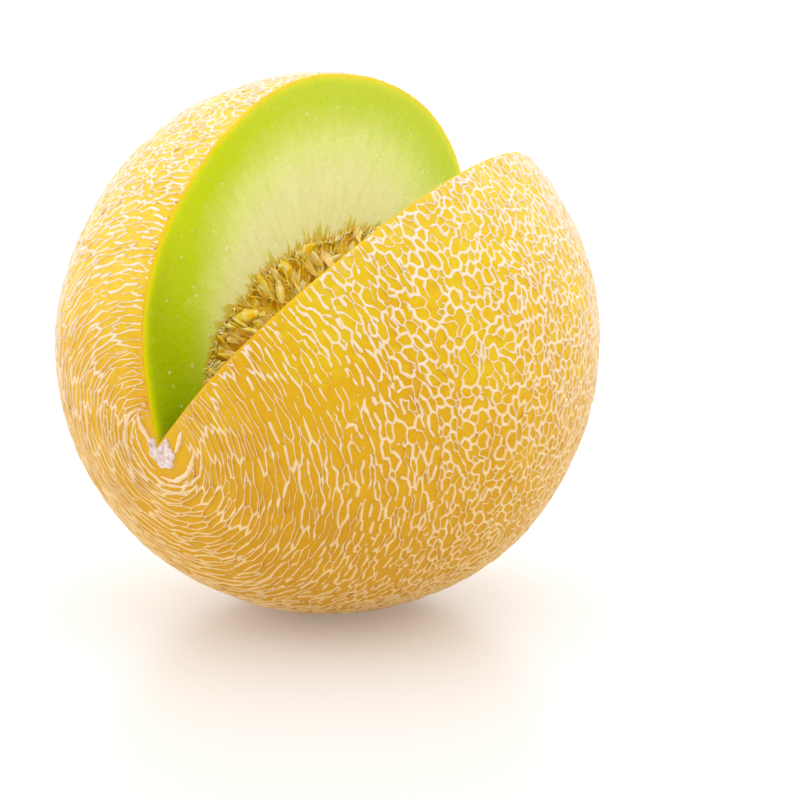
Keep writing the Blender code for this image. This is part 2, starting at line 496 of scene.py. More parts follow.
def height_share(tree, low, high):
    """0 below a height over the floor, 1 above another."""
    return smooth_step(tree, split_vector(tree, object_place(tree))[2], low, high)


RIND_COLOURS = (
    (0.0, (218, 158, 0)),
    (0.4, (228, 173, 0)),
    (0.7, (234, 193, 4)),
    (1.0, (238, 208, 66)),
)
RIND_SHADE_TOP = 0.165
PATCH_FINENESS = 45.0
PATCH_TONE = 0.6
MOTTLE_FINENESS = 420.0
MOTTLE_TONE = 0.5
PORE_FINENESS = 900.0
PORE_DEPTH = 0.0002


def tone_noise(tree, fineness, detail, strength):
    """Noise about zero that makes a tone lighter or darker by up to half its strength."""
    return times(tree, minus(tree, object_noise(tree, fineness, detail), 0.5), strength)


def rind_material():
    """Waxy yellow rind, deeper orange in patches, with painted shade that makes it deeper orange lower down
    and lighter higher up, and fine pores.
    """
    material, tree, shader = shader_tree("rind", 0.45)
    patches = tone_noise(tree, PATCH_FINENESS, 3.0, PATCH_TONE)
    mottle = tone_noise(tree, MOTTLE_FINENESS, 2.0, MOTTLE_TONE)
    # Painted shade and light: the rind is deeper orange lower down and lighter towards the top, by height
    # over the floor; patches and mottle are its own tone.
    tone = plus(tree, height_share(tree, 0.0, RIND_SHADE_TOP), plus(tree, patches, mottle))
    feed(tree, shader, "Base Color", ramp(tree, tone, RIND_COLOURS))
    pores = scaled(tree, object_noise(tree, PORE_FINENESS), 0.35, 0.65)
    bumps(tree, shader, pores, 0.25, PORE_DEPTH)
    shader.inputs["Specular IOR Level"].default_value = 0.25
    glow_through(shader, 0.12, (0.004, 0.002, 0.0006))
    return material


def own_place(tree):
    """A place on the piece in the fruit's own axes."""
    arm = vec(tree, "SUBTRACT", object_place(tree), FRUIT_CENTRE)
    parts = [vec(tree, "DOT_PRODUCT", arm, axis) for axis in (RIGHT_AXIS, UP_AXIS, STEM_AXIS)]
    return joined(tree, *parts)


ROUND_THE_MIDDLE = 0.03
ROUND_THE_LENGTH = 0.012


def arm_length(tree, one, two):
    """How long an arm is, from its two parts at right angles."""
    return calc(tree, "SQRT", plus(tree, times(tree, one, one), times(tree, two, two)))


def polar_place(tree, place, stretch):
    """Coordinates that run round the cavity's middle and out from it, so that patterns point there."""
    x, y, z = split_vector(tree, place)
    off_axis = arm_length(tree, x, y)
    along = minus(tree, z, CAVITY_CENTRE)
    return joined(
        tree,
        times(tree, calc(tree, "ARCTAN2", off_axis, along), ROUND_THE_MIDDLE),
        times(tree, arm_length(tree, off_axis, along), stretch),
        times(tree, calc(tree, "ARCTAN2", x, y), ROUND_THE_LENGTH),
    )


def streaks(tree, place, kind, detail=2.0):
    """Noise drawn out along the lines from the cavity's middle, with a fineness and a stretch."""
    fineness, stretch = kind
    return place_noise(tree, polar_place(tree, place, stretch), fineness, detail)


FLESH_DEPTH_MM = 30.0
FLESH_COLOURS = (
    (0.0, (246, 208, 20)),
    (0.026, (240, 214, 20)),
    (0.05, (216, 220, 8)),
    (0.10, (202, 214, 0)),
    (0.24, (200, 215, 10)),
    (0.42, (212, 222, 84)),
    (0.66, (232, 236, 148)),
    (0.95, (244, 238, 188)),
)
GOLD_COLOURS = ((0.0, (226, 164, 8)), (0.35, (218, 188, 28)), (1.0, (216, 212, 96)))
GOLD_DEPTH_MM = 5.0
HIGHLIGHT_STREAK_COLOUR = (244, 236, 214)
STEM_END_SHADE_GREEN = (120, 140, 0)
FAINT_GREEN = (196, 206, 60)
PAINTED_GLINT = (255, 252, 236)

BORDER_FINENESS = 70.0
BORDER_SWING_MM = 9.0
BORDER_STREAKS = (900.0, 0.12)
BORDER_STREAK_MM = 5.0
STEM_SHADE_SHIFT_MM = 15.0
SPIKE_STREAKS = (800.0, 0.05)
SPIKE_SHARPNESS = 1.6
SPIKE_LENGTH_MM = 5.0
SPIKE_FOOT_MM = 0.8
SPIKE_SOFTNESS_MM = 0.9
HIGHLIGHT_STREAKS = (1100.0, 0.09)
FAINT_STREAKS = (700.0, 0.1)
GRAIN_STREAKS = (1400.0, 0.25)
GRAIN_FINENESS = 1500.0
GRAIN_DEPTH = 0.0003
GLINT_FINENESS = 620.0
WETNESS_FINENESS = 260.0


def flesh_by_depth(tree, place, depth_mm):
    """A yellow line at the skin, a green band, then paler flesh, along a border that wanders and moves in
    towards the stem end as painted shade.
    """
    swing = scaled(tree, depth_mm, 1.0, 14.0, 0.0, BORDER_SWING_MM)
    deep = plus(tree, depth_mm, tone_noise(tree, BORDER_FINENESS, 3.0, swing))
    # Painted shade: towards the stem end the border moves in, so the flesh there shows its darker green
    # band.
    by_stem = smooth_step(tree, split_vector(tree, place)[2], 0.016, 0.064)
    painted_shade_green = times(tree, by_stem, scaled(tree, depth_mm, 2.0, 22.0))
    deep = minus(tree, deep, times(tree, painted_shade_green, STEM_SHADE_SHIFT_MM))
    fine = minus(tree, streaks(tree, place, BORDER_STREAKS), 0.5)
    fine = times(tree, fine, scaled(tree, depth_mm, 2.0, 10.0, 0.0, BORDER_STREAK_MM))
    part = calc(tree, "DIVIDE", plus(tree, deep, fine), FLESH_DEPTH_MM)
    return ramp(tree, part, FLESH_COLOURS, smooth=False)


def with_gold_spikes(tree, colour, place, from_cavity):
    """The colour with golden spikes that run a few millimetres out from the cavity."""
    spikes = scaled(tree, streaks(tree, place, SPIKE_STREAKS, 1.0), 0.32, 0.7)
    spikes = times(tree, calc(tree, "POWER", spikes, SPIKE_SHARPNESS), SPIKE_LENGTH_MM)
    left_over = minus(tree, plus(tree, spikes, SPIKE_FOOT_MM), from_cavity)
    inside = smooth_step(tree, left_over, -SPIKE_SOFTNESS_MM, SPIKE_SOFTNESS_MM)
    gold = ramp(tree, scaled(tree, from_cavity, 0.0, GOLD_DEPTH_MM), GOLD_COLOURS, smooth=False)
    return blended(tree, times(tree, inside, 0.85), colour, gold)


def flesh_material():
    """Wet flesh that follows its depth under the skin, with gold spikes by the seeds, pale streaks there
    painted as highlights, painted shade in dark green towards the stem end, and small painted glints.
    """
    material, tree, shader = shader_tree("flesh", 0.3)
    place = own_place(tree)
    depth_mm = attribute(tree, "skin_depth")
    from_cavity = attribute(tree, "from_cavity")
    colour = flesh_by_depth(tree, place, depth_mm)
    colour = with_gold_spikes(tree, colour, place, from_cavity)
    # Painted highlights: pale streaks on the flesh near the cavity.
    pale = smooth_step(tree, streaks(tree, place, HIGHLIGHT_STREAKS, 1.0), 0.58, 0.72)
    pale = times(tree, pale, scaled(tree, from_cavity, 9.0, 0.5), 0.6)
    colour = blended(tree, pale, colour, paint(*HIGHLIGHT_STREAK_COLOUR))
    # Painted shade: dark green laid over the flesh towards the stem end.
    by_stem = smooth_step(tree, split_vector(tree, place)[2], 0.045, 0.068)
    by_stem = times(tree, by_stem, smooth_step(tree, depth_mm, 0.5, 4.0), 0.45)
    colour = blended(tree, by_stem, colour, paint(*STEM_END_SHADE_GREEN))
    faint = smooth_step(tree, streaks(tree, place, FAINT_STREAKS, 3.0), 0.42, 0.66)
    faint = times(tree, faint, smooth_step(tree, depth_mm, 3.0, 16.0, 0.06, 0.16))
    colour = blended(tree, faint, colour, paint(*FAINT_GREEN))
    # Painted highlights: small pale glints on the wet flesh.
    painted_glint = smooth_step(tree, object_noise(tree, GLINT_FINENESS, 1.0), 0.7, 0.76)
    painted_glint = times(tree, painted_glint, smooth_step(tree, depth_mm, 3.0, 12.0, 0.1, 0.7))
    feed(tree, shader, "Base Color", blended(tree, painted_glint, colour, paint(*PAINTED_GLINT)))
    grain = plus(tree, streaks(tree, place, GRAIN_STREAKS), object_noise(tree, GRAIN_FINENESS))
    bumps(tree, shader, grain, 0.35, GRAIN_DEPTH)
    wetness = scaled(tree, object_noise(tree, WETNESS_FINENESS), 0.35, 0.65, 0.18, 0.42)
    feed(tree, shader, "Roughness", wetness)
    shader.inputs["Specular IOR Level"].default_value = 0.35
    glow_through(shader, 0.3, (0.004, 0.005, 0.002))
    return material


RIND_ABOVE_FLOOR = 0.0001
SHARP_EDGE = math.radians(62.0)
FLESH_STARTS_MM = 5.0

carrier = new_object("fruit_carrier", fruit_mesh)
swollen = run_tree(carrier, swollen_tree(rind_material()), {"Swell height": LUMP_HEIGHT}, "fruit_body")
bpy.data.objects.remove(carrier)
swollen.transform(OWN_FRAME)
rest_on_floor(swollen, RIND_ABOVE_FLOOR)
swollen.shade_smooth()
swollen.set_sharp_from_angle(angle=SHARP_EDGE)
swollen.materials.append(flesh_material())
cut_values = numbers(swollen, "on_cut")
below_skin = numbers(swollen, "skin_depth")
for face in swollen.polygons:
    inside = max(cut_values[v] for v in face.vertices) > RIM_MARK
    deepest = max(below_skin[v] for v in face.vertices) > FLESH_STARTS_MM
    face.material_index = 1 if inside or deepest else 0
fruit_body = new_object("fruit_body", swollen)

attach(fruit_body, "root")
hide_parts("fruit")

# Netting
# Cork that healed the cracks of the growing skin: raised pale ridges that join into a net of small cells.
# Near the stem the cracks ran round the fruit, so the cells there are long and thin. Further on they are
# about as long as wide, and thicker ridges part them into groups.

NET_SEED = 7
CELL_ACROSS = (
    (0.0, 1.5),
    (30.0, 1.65),
    (50.0, 1.9),
    (70.0, 2.2),
    (90.0, 2.3),
    (130.0, 2.5),
    (180.0, 2.6),
)
NET_CONE = (
    (0.0, 0.18),
    (25.0, 0.2),
    (40.0, 0.5),
    (55.0, 0.75),
    (75.0, 0.6),
    (95.0, 0.0),
    (140.0, -0.55),
    (180.0, -0.85),
)
PROFILE_STEPS = 4001
RIDGE_HALF_WIDTH = 0.00026
MAIN_RIDGE_WIDENING = 1.2
MAIN_CELL_DENSITY = 150.0
RIDGE_HEIGHT = 0.00042
RIDGE_BURY = 0.00014
RIDGE_ARCH = 0.8
RIDGE_WOBBLE = 0.0008
RIDGE_WOBBLE_FINENESS = 800.0
RIDGE_PATCHINESS = (0.6, 1.1)
RIDGE_PATCH_NOISE = (0.3, 0.55)
RIDGE_PATCH_FINENESS = 130.0
RIDGE_FADE_OUT = 0.2
RIM_CLEAR = 0.0002
RIM_FADE = 0.0006
GAP_CHANCE = 0.04
GAP_CHANCE_ACROSS = 0.08
GAP_CHANCE_BY_STEM = 0.8
GAP_ACROSS = (0.12, 0.6)
GAP_BY_STEM = (0.3, 0.88)
GAP_SINK = 0.001
CELL_DRIFT = 0.0024
CELL_DRIFT_BY_STEM = 0.0009
CELL_DRIFT_EASES = (0.55, 0.93)
CELL_DRIFT_FINENESS = 260.0
DRAWN_IN_BY_STEM = 0.3
DRAWN_IN_EASES = (0.5, 0.9)
NOTCH_OVERLAP = 0.006
NET_SECTORS = 4
NET_SEAM = (NOTCH_LEFT + NOTCH_RIGHT) / 2.0
STRIP_OVERLAP = 4.0
GOLDEN_TURN = (3.0 - math.sqrt(5.0)) * math.pi
CURVE_POINTS = 41
CELL_JITTER = 0.62
SHARPEST_SINE = 0.4
INSET_LIMIT = 0.72
FEWEST_AROUND = 0.5
SMOOTH_BY_SCAR = (math.cos(math.radians(7.4)), math.cos(math.radians(8.8)))
BARE_WAY = Vector((47.6, 20.5, 55.6)).normalized()
BARE_REACH = (0.08, 0.3)
BARE_STRENGTH = 0.6


def net_profile():
    """How the net lies along the angle from the stem end.

    Cells are CELL_ACROSS millimetres wide from row to row, at degrees from the stem end, and with each row
    a radian round the fruit gains NET_CONE of a cell. The result is the rows at each step, the cells in a
    radian, and the height in a plane, with the turn across it, where a cell is as long as it is wide.
    """
    angle = np.linspace(0.0, math.pi, PROFILE_STEPS)
    degrees = np.degrees(angle)
    cell_across = np.interp(degrees, *zip(*CELL_ACROSS))
    rows = np.gradient(angle) * skin_reach(angle) * MM_IN_A_METRE / cell_across
    slope = np.interp(degrees, *zip(*NET_CONE))
    widening = np.sum((slope * rows)[slope > 0.0])
    narrowing = -np.sum((slope * rows)[slope < 0.0])
    slope = np.where(slope < 0.0, slope * widening / narrowing, slope)
    width = np.cumsum(slope * rows)
    inner = slice(1, -2)
    angle, rows, width = angle[inner], rows[inner], width[inner]
    polar = np.cumsum(rows / width)
    return angle, rows, width, polar


def net_triangles():
    """A point for each cell, joined to triangles, with the turn round the fruit on X and the height on Y.

    The points follow a jittered spiral. The strip starts and ends in the notch, and goes on a little there.
    """
    angle, rows, width, polar = net_profile()
    passed_rows = np.cumsum(rows)
    area = 2.0 * math.pi * np.cumsum(width * rows)
    count = int(area[-1])
    rng = np.random.default_rng(NET_SEED)
    share = area[0] + (np.arange(count) + 0.5) / count * (area[-1] - area[0])
    passed = np.interp(share, area, passed_rows) + rng.uniform(-CELL_JITTER, CELL_JITTER, count)
    place = np.interp(passed, passed_rows, angle)
    around = np.maximum(np.interp(place, angle, width), FEWEST_AROUND)
    turn = np.arange(count) * GOLDEN_TURN
    turn = turn + rng.uniform(-CELL_JITTER, CELL_JITTER, count) / around
    turn = NET_SEAM + (turn - NET_SEAM) % (2.0 * math.pi)
    height = np.interp(place, angle, polar)
    low = turn < NET_SEAM + STRIP_OVERLAP / around
    high = turn > NET_SEAM + 2.0 * math.pi - STRIP_OVERLAP / around
    turn = np.concatenate([turn, turn[low] + 2.0 * math.pi, turn[high] - 2.0 * math.pi])
    height = np.concatenate([height, height[low], height[high]])
    spots = [Vector(spot) for spot in zip(turn.tolist(), height.tolist())]
    corners, _, faces, *_ = geometry.delaunay_2d_cdt(spots, [], [], 0, 1e-9)
    mesh = bpy.data.meshes.new("net_triangles")
    mesh.from_pydata([(*corner, 0.0) for corner in corners], [], faces)
    return mesh


def curve_node(tree, value, xs, ys):
    """A smooth curve from one number, 0 to 1, to another, through points sampled from two rows."""
    node = add_node(tree, "ShaderNodeFloatCurve", {"Value": value})
    points = node.mapping.curves[0].points
    places = np.linspace(0.0, 1.0, CURVE_POINTS)
    heights = np.interp(places, xs, ys)
    while len(points) < CURVE_POINTS:
        points.new(0.5, 0.5)
    for point, place, height in zip(points, places, heights):
        point.location = (place, height)
    node.mapping.update()
    return out(node)


def stored(tree, geometry, name, value, kind="FLOAT", domain="POINT"):
    """The geometry with one more value stored on it."""
    node = add_node(
        tree,
        "GeometryNodeStoreNamedAttribute",
        {"Geometry": geometry, "Name": name, "Value": value},
        data_type=kind,
        domain=domain,
    )
    return out(node)


def named(tree, name, kind="FLOAT"):
    """A value stored on the geometry."""
    node = add_node(tree, "GeometryNodeInputNamedAttribute", {"Name": name}, data_type=kind)
    return out(node, "Attribute")


def square(tree, value, kind="FLOAT"):
    """The square of a number, or of a vector's length."""
    if kind == "FLOAT_VECTOR":
        return vec(tree, "DOT_PRODUCT", value, value)
    return times(tree, value, value)


def stored_to_compare(tree, geometry, name, value, kind="FLOAT", domain="POINT"):
    """The geometry with a value and its square stored, for difference to read."""
    geometry = stored(tree, geometry, name, value, kind, domain)
    squared = square(tree, named(tree, name, kind), kind)
    return stored(tree, geometry, name + "_square", squared, domain=domain)


def difference(tree, name, kind="FLOAT"):
    """How far the values lie apart that were averaged here: their mean square less their squared mean."""
    return minus(tree, named(tree, name + "_square"), square(tree, named(tree, name, kind), kind))


def root(tree, value):
    """The square root of a number, taken as 0 where it is below 0."""
    return calc(tree, "SQRT", calc(tree, "MAXIMUM", value, 0.0))


def random_number(tree, low, high, seed):
    """A random number for each element."""
    node = add_node(tree, "FunctionNodeRandomValue", {2: low, 3: high, "Seed": seed}, data_type="FLOAT")
    return out(node)


def wander(tree, scale, detail=0.0):
    """A vector about zero that changes from place to place."""
    node = add_node(
        tree, "ShaderNodeTexNoise", {"Vector": position(tree), "Scale": scale, "Detail": detail}
    )
    return vec(tree, "SUBTRACT", out(node, "Color"), Vector((0.5, 0.5, 0.5)))


def along_skin(tree, offset):
    """An offset without its part that points out of the skin."""
    outward = vec(tree, "NORMALIZE", position(tree))
    away = vec(tree, "SCALE", outward, vec(tree, "DOT_PRODUCT", offset, outward))
    return vec(tree, "SUBTRACT", offset, away)


def deleted(tree, geometry, selection, mode="ALL"):
    """The geometry without the chosen faces."""
    node = add_node(
        tree,
        "GeometryNodeDeleteGeometry",
        {"Geometry": geometry, "Selection": selection},
        domain="FACE",
        mode=mode,
    )
    return out(node)


def outside_of(tree, value, low, high):
    """1 where a number is below or above its limits."""
    return calc(
        tree, "MAXIMUM", calc(tree, "LESS_THAN", value, low), calc(tree, "GREATER_THAN", value, high)
    )


def at_index(tree, value, index, domain="POINT", kind="FLOAT_VECTOR"):
    """The value that another point, edge or face has."""
    node = add_node(
        tree, "GeometryNodeFieldAtIndex", {"Value": value, "Index": index}, domain=domain, data_type=kind
    )
    return out(node)


def skin_reach_nodes(tree, angle):
    """As skin_reach, but as nodes."""
    total = 1.0
    for k, share in PROFILE_HARMONICS.items():
        wave = calc(tree, "COSINE", times(tree, angle, float(k)))
        total = plus(tree, times(tree, wave, share), total)
    return times(tree, total, MEAN_RADIUS)


def clear_of_notch(tree, place):
    """How far a place in the fruit's own axes is outside the notch, and the way out of it."""
    left_out = Vector((-math.cos(NOTCH_LEFT), math.sin(NOTCH_LEFT), 0.0))
    right_out = Vector((math.cos(NOTCH_RIGHT), -math.sin(NOTCH_RIGHT), 0.0))
    arm = vec(tree, "SUBTRACT", place, Vector((*NOTCH_EDGE, 0.0)))
    left = vec(tree, "DOT_PRODUCT", arm, left_out)
    right = vec(tree, "DOT_PRODUCT", arm, right_out)
    on_left = calc(tree, "GREATER_THAN", left, right)
    way = add_node(tree, "ShaderNodeMix", {0: on_left}, data_type="VECTOR")
    feed(tree, way, 4, right_out)
    feed(tree, way, 5, left_out)
    return calc(tree, "MAXIMUM", left, right), way.outputs[1]


def tallness(tree):
    """How far each place is towards the stem end, 1 near the end itself."""
    return calc(tree, "DIVIDE", split_vector(tree, position(tree))[2], MEAN_RADIUS)


def cells_on_skin(tree, triangles):
    """One cell for each corner of the flat triangles, laid over the skin and shifted a little along it."""
    cells = out(add_node(tree, "GeometryNodeDualMesh", {"Mesh": triangles}))
    turn, height, _ = split_vector(tree, position(tree))
    cells = deleted(tree, cells, outside_of(tree, turn, NET_SEAM, NET_SEAM + 2.0 * math.pi))
    angle, _, _, polar = net_profile()
    low, high = float(polar[0]), float(polar[-1])
    theta = curve_node(tree, scaled(tree, height, low, high), (polar - low) / (high - low), angle / math.pi)
    theta = times(tree, theta, math.pi)
    off_axis = calc(tree, "SINE", theta)
    way = joined(
        tree,
        times(tree, off_axis, calc(tree, "SINE", turn)),
        times(tree, off_axis, calc(tree, "COSINE", turn)),
        calc(tree, "COSINE", theta),
    )
    cells = moved(tree, cells, Position=vec(tree, "SCALE", way, skin_reach_nodes(tree, theta)))
    drift = along_skin(tree, wander(tree, CELL_DRIFT_FINENESS))
    loose = smooth_step(tree, tallness(tree), *CELL_DRIFT_EASES, CELL_DRIFT, CELL_DRIFT_BY_STEM)
    cells = moved(tree, cells, Offset=vec(tree, "SCALE", drift, loose))
    clear, _ = clear_of_notch(tree, position(tree))
    return deleted(tree, cells, calc(tree, "LESS_THAN", clear, -NOTCH_OVERLAP))


def cells_in_groups(tree, cells, seed):
    """The cells with their values stored, in groups that the main ridges part, drawn out round the stem."""
    spot = position(tree)
    tall = tallness(tree)
    cells = stored(tree, cells, "luck", random_number(tree, 0.0, 1.0, plus(tree, seed, 2.0)))
    cells = stored_to_compare(tree, cells, "spot", spot, "FLOAT_VECTOR")
    cells = stored_to_compare(tree, cells, "tall", tall)
    cells = stored(tree, cells, "crest", 1.0)
    drawn_in = smooth_step(tree, tall, *DRAWN_IN_EASES, 1.0, DRAWN_IN_BY_STEM)
    x, y, z = split_vector(tree, spot)
    stretched = joined(tree, times(tree, x, drawn_in), times(tree, y, drawn_in), z)
    groups = add_node(tree, "ShaderNodeTexVoronoi", {"Vector": stretched, "Scale": MAIN_CELL_DENSITY})
    group = split_vector(tree, out(groups, "Color"))[0]
    cells = stored_to_compare(tree, cells, "group", group, domain="FACE")
    parted = calc(tree, "GREATER_THAN", difference(tree, "group"), 1e-6)
    return stored(tree, cells, "main", parted, domain="EDGE")


def bands_between(tree, cells, half_width):
    """A flat band along every edge between cells, wider where it is a main one.

    Each cell's face is copied in place, its corners are moved in from the edges, and it is taken out.
    """
    grown = add_node(tree, "GeometryNodeExtrudeMesh", {"Mesh": cells, "Offset Scale": 0.0}, mode="FACES")
    feed(tree, grown, "Individual", True)
    top = out(grown, "Top")
    here = out(add_node(tree, "GeometryNodeInputIndex"))
    corner = add_node(
        tree, "GeometryNodeCornersOfVertex", {"Vertex Index": here, "Weights": minus(tree, 1.0, top)}
    )
    corner = out(corner, "Corner Index")
    edges = add_node(tree, "GeometryNodeEdgesOfCorner", {"Corner Index": corner})
    sides = []
    widths = []
    for step, edge_name in ((-1, "Previous Edge Index"), (1, "Next Edge Index")):
        beside = add_node(tree, "GeometryNodeOffsetCornerInFace", {"Corner Index": corner, "Offset": step})
        vertex = add_node(tree, "GeometryNodeVertexOfCorner", {"Corner Index": out(beside)})
        arm = vec(tree, "SUBTRACT", at_index(tree, position(tree), out(vertex)), position(tree))
        sides.append(vec(tree, "NORMALIZE", arm))
        main = at_index(tree, named(tree, "main"), out(edges, edge_name), "EDGE", "FLOAT")
        wider = plus(tree, times(tree, main, MAIN_RIDGE_WIDENING), 1.0)
        widths.append(times(tree, half_width, wider))
    first = vec(tree, "SCALE", sides[0], widths[1])
    second = vec(tree, "SCALE", sides[1], widths[0])
    sine = calc(tree, "MAXIMUM", vec(tree, "LENGTH", vec(tree, "CROSS_PRODUCT", *sides)), SHARPEST_SINE)
    inset = vec(tree, "SCALE", vec(tree, "ADD", first, second), calc(tree, "DIVIDE", 1.0, sine))
    face = add_node(tree, "GeometryNodeFaceOfCorner", {"Corner Index": corner})
    centre = at_index(tree, position(tree), out(face, "Face Index"), "FACE")
    to_centre = vec(tree, "SUBTRACT", centre, position(tree))
    room = times(tree, vec(tree, "DOT_PRODUCT", to_centre, to_centre), INSET_LIMIT)
    used = calc(tree, "MAXIMUM", vec(tree, "DOT_PRODUCT", inset, to_centre), 1e-9)
    inset = vec(tree, "SCALE", inset, calc(tree, "MINIMUM", calc(tree, "DIVIDE", room, used), 1.0))
    band = moved(tree, out(grown, "Mesh"), Offset=inset, Selection=top)
    band = stored(tree, band, "crest", minus(tree, 1.0, top))
    band = deleted(tree, band, top, "ONLY_FACE")
    return out(add_node(tree, "GeometryNodeSubdivideMesh", {"Mesh": band, "Level": 1}))


def gaps(tree):
    """1 in the middle of a ridge with a gap: some of all ridges, most of those that run to the stem."""
    half_length = root(tree, difference(tree, "spot", "FLOAT_VECTOR"))
    tall = named(tree, "tall")
    rise = times(tree, root(tree, difference(tree, "tall")), MEAN_RADIUS)
    slant = calc(tree, "SQRT", calc(tree, "MAXIMUM", minus(tree, 1.0, square(tree, tall)), 0.02))
    across = calc(tree, "DIVIDE", rise, slant)
    across = calc(tree, "DIVIDE", across, calc(tree, "MAXIMUM", half_length, 1e-5))
    across = smooth_step(tree, across, *GAP_ACROSS)
    by_stem = smooth_step(tree, tall, *GAP_BY_STEM)
    chance = plus(tree, GAP_CHANCE_ACROSS, times(tree, by_stem, GAP_CHANCE_BY_STEM))
    chance = plus(tree, GAP_CHANCE, times(tree, across, chance))
    luck = calc(tree, "PINGPONG", times(tree, named(tree, "luck"), 20.0), 1.0)
    in_middle = calc(tree, "GREATER_THAN", half_length, 0.0001)
    return times(tree, in_middle, calc(tree, "LESS_THAN", luck, chance))


def ridge_strength(tree, clear, upright, gap):
    """How high a ridge stands: lower in patches, nothing at the notch's rim, by the scar and in gaps."""
    patches = place_noise(tree, position(tree), RIDGE_PATCH_FINENESS, 1.0)
    bare = vec(tree, "DISTANCE", vec(tree, "NORMALIZE", position(tree)), BARE_WAY)
    strength = times(
        tree,
        smooth_step(tree, patches, *RIDGE_PATCH_NOISE, *RIDGE_PATCHINESS),
        smooth_step(tree, bare, *BARE_REACH, BARE_STRENGTH, 1.0),
        smooth_step(tree, clear, RIM_CLEAR, RIM_FADE),
        smooth_step(tree, upright, *SMOOTH_BY_SCAR),
        minus(tree, 1.0, gap),
    )
    highest = RIDGE_PATCHINESS[1]
    return scaled(tree, strength, RIDGE_FADE_OUT, highest, 0.0, highest)


def net_tree(material):
    """Cells laid over the skin, with a band left between them that is raised to ridges."""
    tree, given, result = geometry_tree(
        "netting",
        {
            "Seed": "NodeSocketInt",
            "Ridge half width": "NodeSocketFloat",
            "Ridge height": "NodeSocketFloat",
            "Bury": "NodeSocketFloat",
            "Swell height": "NodeSocketFloat",
            "First turn": "NodeSocketFloat",
            "Last turn": "NodeSocketFloat",
        },
    )
    size = {s.name: s for s in given.outputs}
    cells = cells_in_groups(tree, cells_on_skin(tree, given.outputs[0]), size["Seed"])
    net = bands_between(tree, cells, size["Ridge half width"])
    gap = gaps(tree)
    wobble = vec(tree, "SCALE", wander(tree, RIDGE_WOBBLE_FINENESS), RIDGE_WOBBLE)
    net = moved(tree, net, Offset=along_skin(tree, wobble))

    outward = vec(tree, "NORMALIZE", position(tree))
    upright = split_vector(tree, outward)[2]
    clear, way_out = clear_of_notch(tree, position(tree))
    strength = ridge_strength(tree, clear, upright, gap)
    arch = calc(tree, "SINE", times(tree, named(tree, "crest"), math.pi / 2.0))
    arch = calc(tree, "POWER", arch, RIDGE_ARCH)
    lift = times(tree, arch, strength, plus(tree, size["Ridge height"], size["Bury"]))
    lift = minus(tree, lift, plus(tree, size["Bury"], times(tree, gap, GAP_SINK)))
    lift = plus(tree, lift, lump_height(tree, outward, size["Swell height"]))
    by_scar = calc(tree, "GREATER_THAN", upright, SMOOTH_BY_SCAR[0])
    net = deleted(tree, net, calc(tree, "MAXIMUM", by_scar, calc(tree, "LESS_THAN", clear, 0.0)))
    push = calc(tree, "MAXIMUM", minus(tree, RIM_CLEAR, clear), 0.0)
    offset = vec(tree, "ADD", vec(tree, "SCALE", outward, lift), vec(tree, "SCALE", way_out, push))
    net = moved(tree, net, Offset=offset)

    x, y, _ = split_vector(tree, position(tree))
    turn = calc(tree, "ARCTAN2", x, y)
    net = deleted(tree, net, outside_of(tree, turn, size["First turn"], size["Last turn"]))
    return end_tree(tree, result, net, material)


CORK_IN_SHADE = ((0.0, (224, 168, 48)), (0.4, (240, 200, 116)), (1.0, (248, 214, 164)))
CORK_IN_SUN = ((0.0, (242, 210, 116)), (0.4, (248, 226, 188)), (1.0, (250, 232, 220)))


def netting_material():
    """Smooth pale cork, pinker and lighter on the ridges' crests, tan at their feet, and with painted shade
    that makes it darker and more tan lower down.
    """
    material, tree, shader = shader_tree("netting_cork", 0.6)
    crest = plus(tree, attribute(tree, "crest"), minus(tree, object_noise(tree, 500.0), 0.5))
    low = ramp(tree, crest, CORK_IN_SHADE)
    high = ramp(tree, crest, CORK_IN_SUN)
    # Painted shade and light: the cork is darker and more tan low down and paler higher up, by height over
    # the floor.
    feed(tree, shader, "Base Color", blended(tree, height_share(tree, 0.02, 0.13), low, high))
    return material


cork = netting_material()
netting = net_tree(cork)
carrier = new_object("net_carrier", net_triangles())
for sector in range(NET_SECTORS):
    name = f"netting_{sector + 1}"
    sizes = {
        "Seed": NET_SEED,
        "Ridge half width": RIDGE_HALF_WIDTH,
        "Ridge height": RIDGE_HEIGHT,
        "Bury": RIDGE_BURY,
        "Swell height": LUMP_HEIGHT,
        "First turn": math.pi * (2.0 * sector / NET_SECTORS - 1.0),
        "Last turn": math.pi * (2.0 * (sector + 1) / NET_SECTORS - 1.0),
    }
    net_mesh = run_tree(carrier, netting, sizes, name)
    net_mesh.transform(OWN_FRAME)
    buried = 1.0 - numbers(net_mesh, "crest")
    rest_on_floor(net_mesh, 2.0 * RIND_ABOVE_FLOOR * buried)
    net_mesh.shade_smooth()
    piece = new_object(name, net_mesh)
    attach(piece, "root")
bpy.data.objects.remove(carrier)

# Stem and blossom scars
# Cork that healed over where the stem came off and where the flower was: a rough pale patch at each end.
# By the stem a few thick ridges curl round the smooth skin beside the patch.

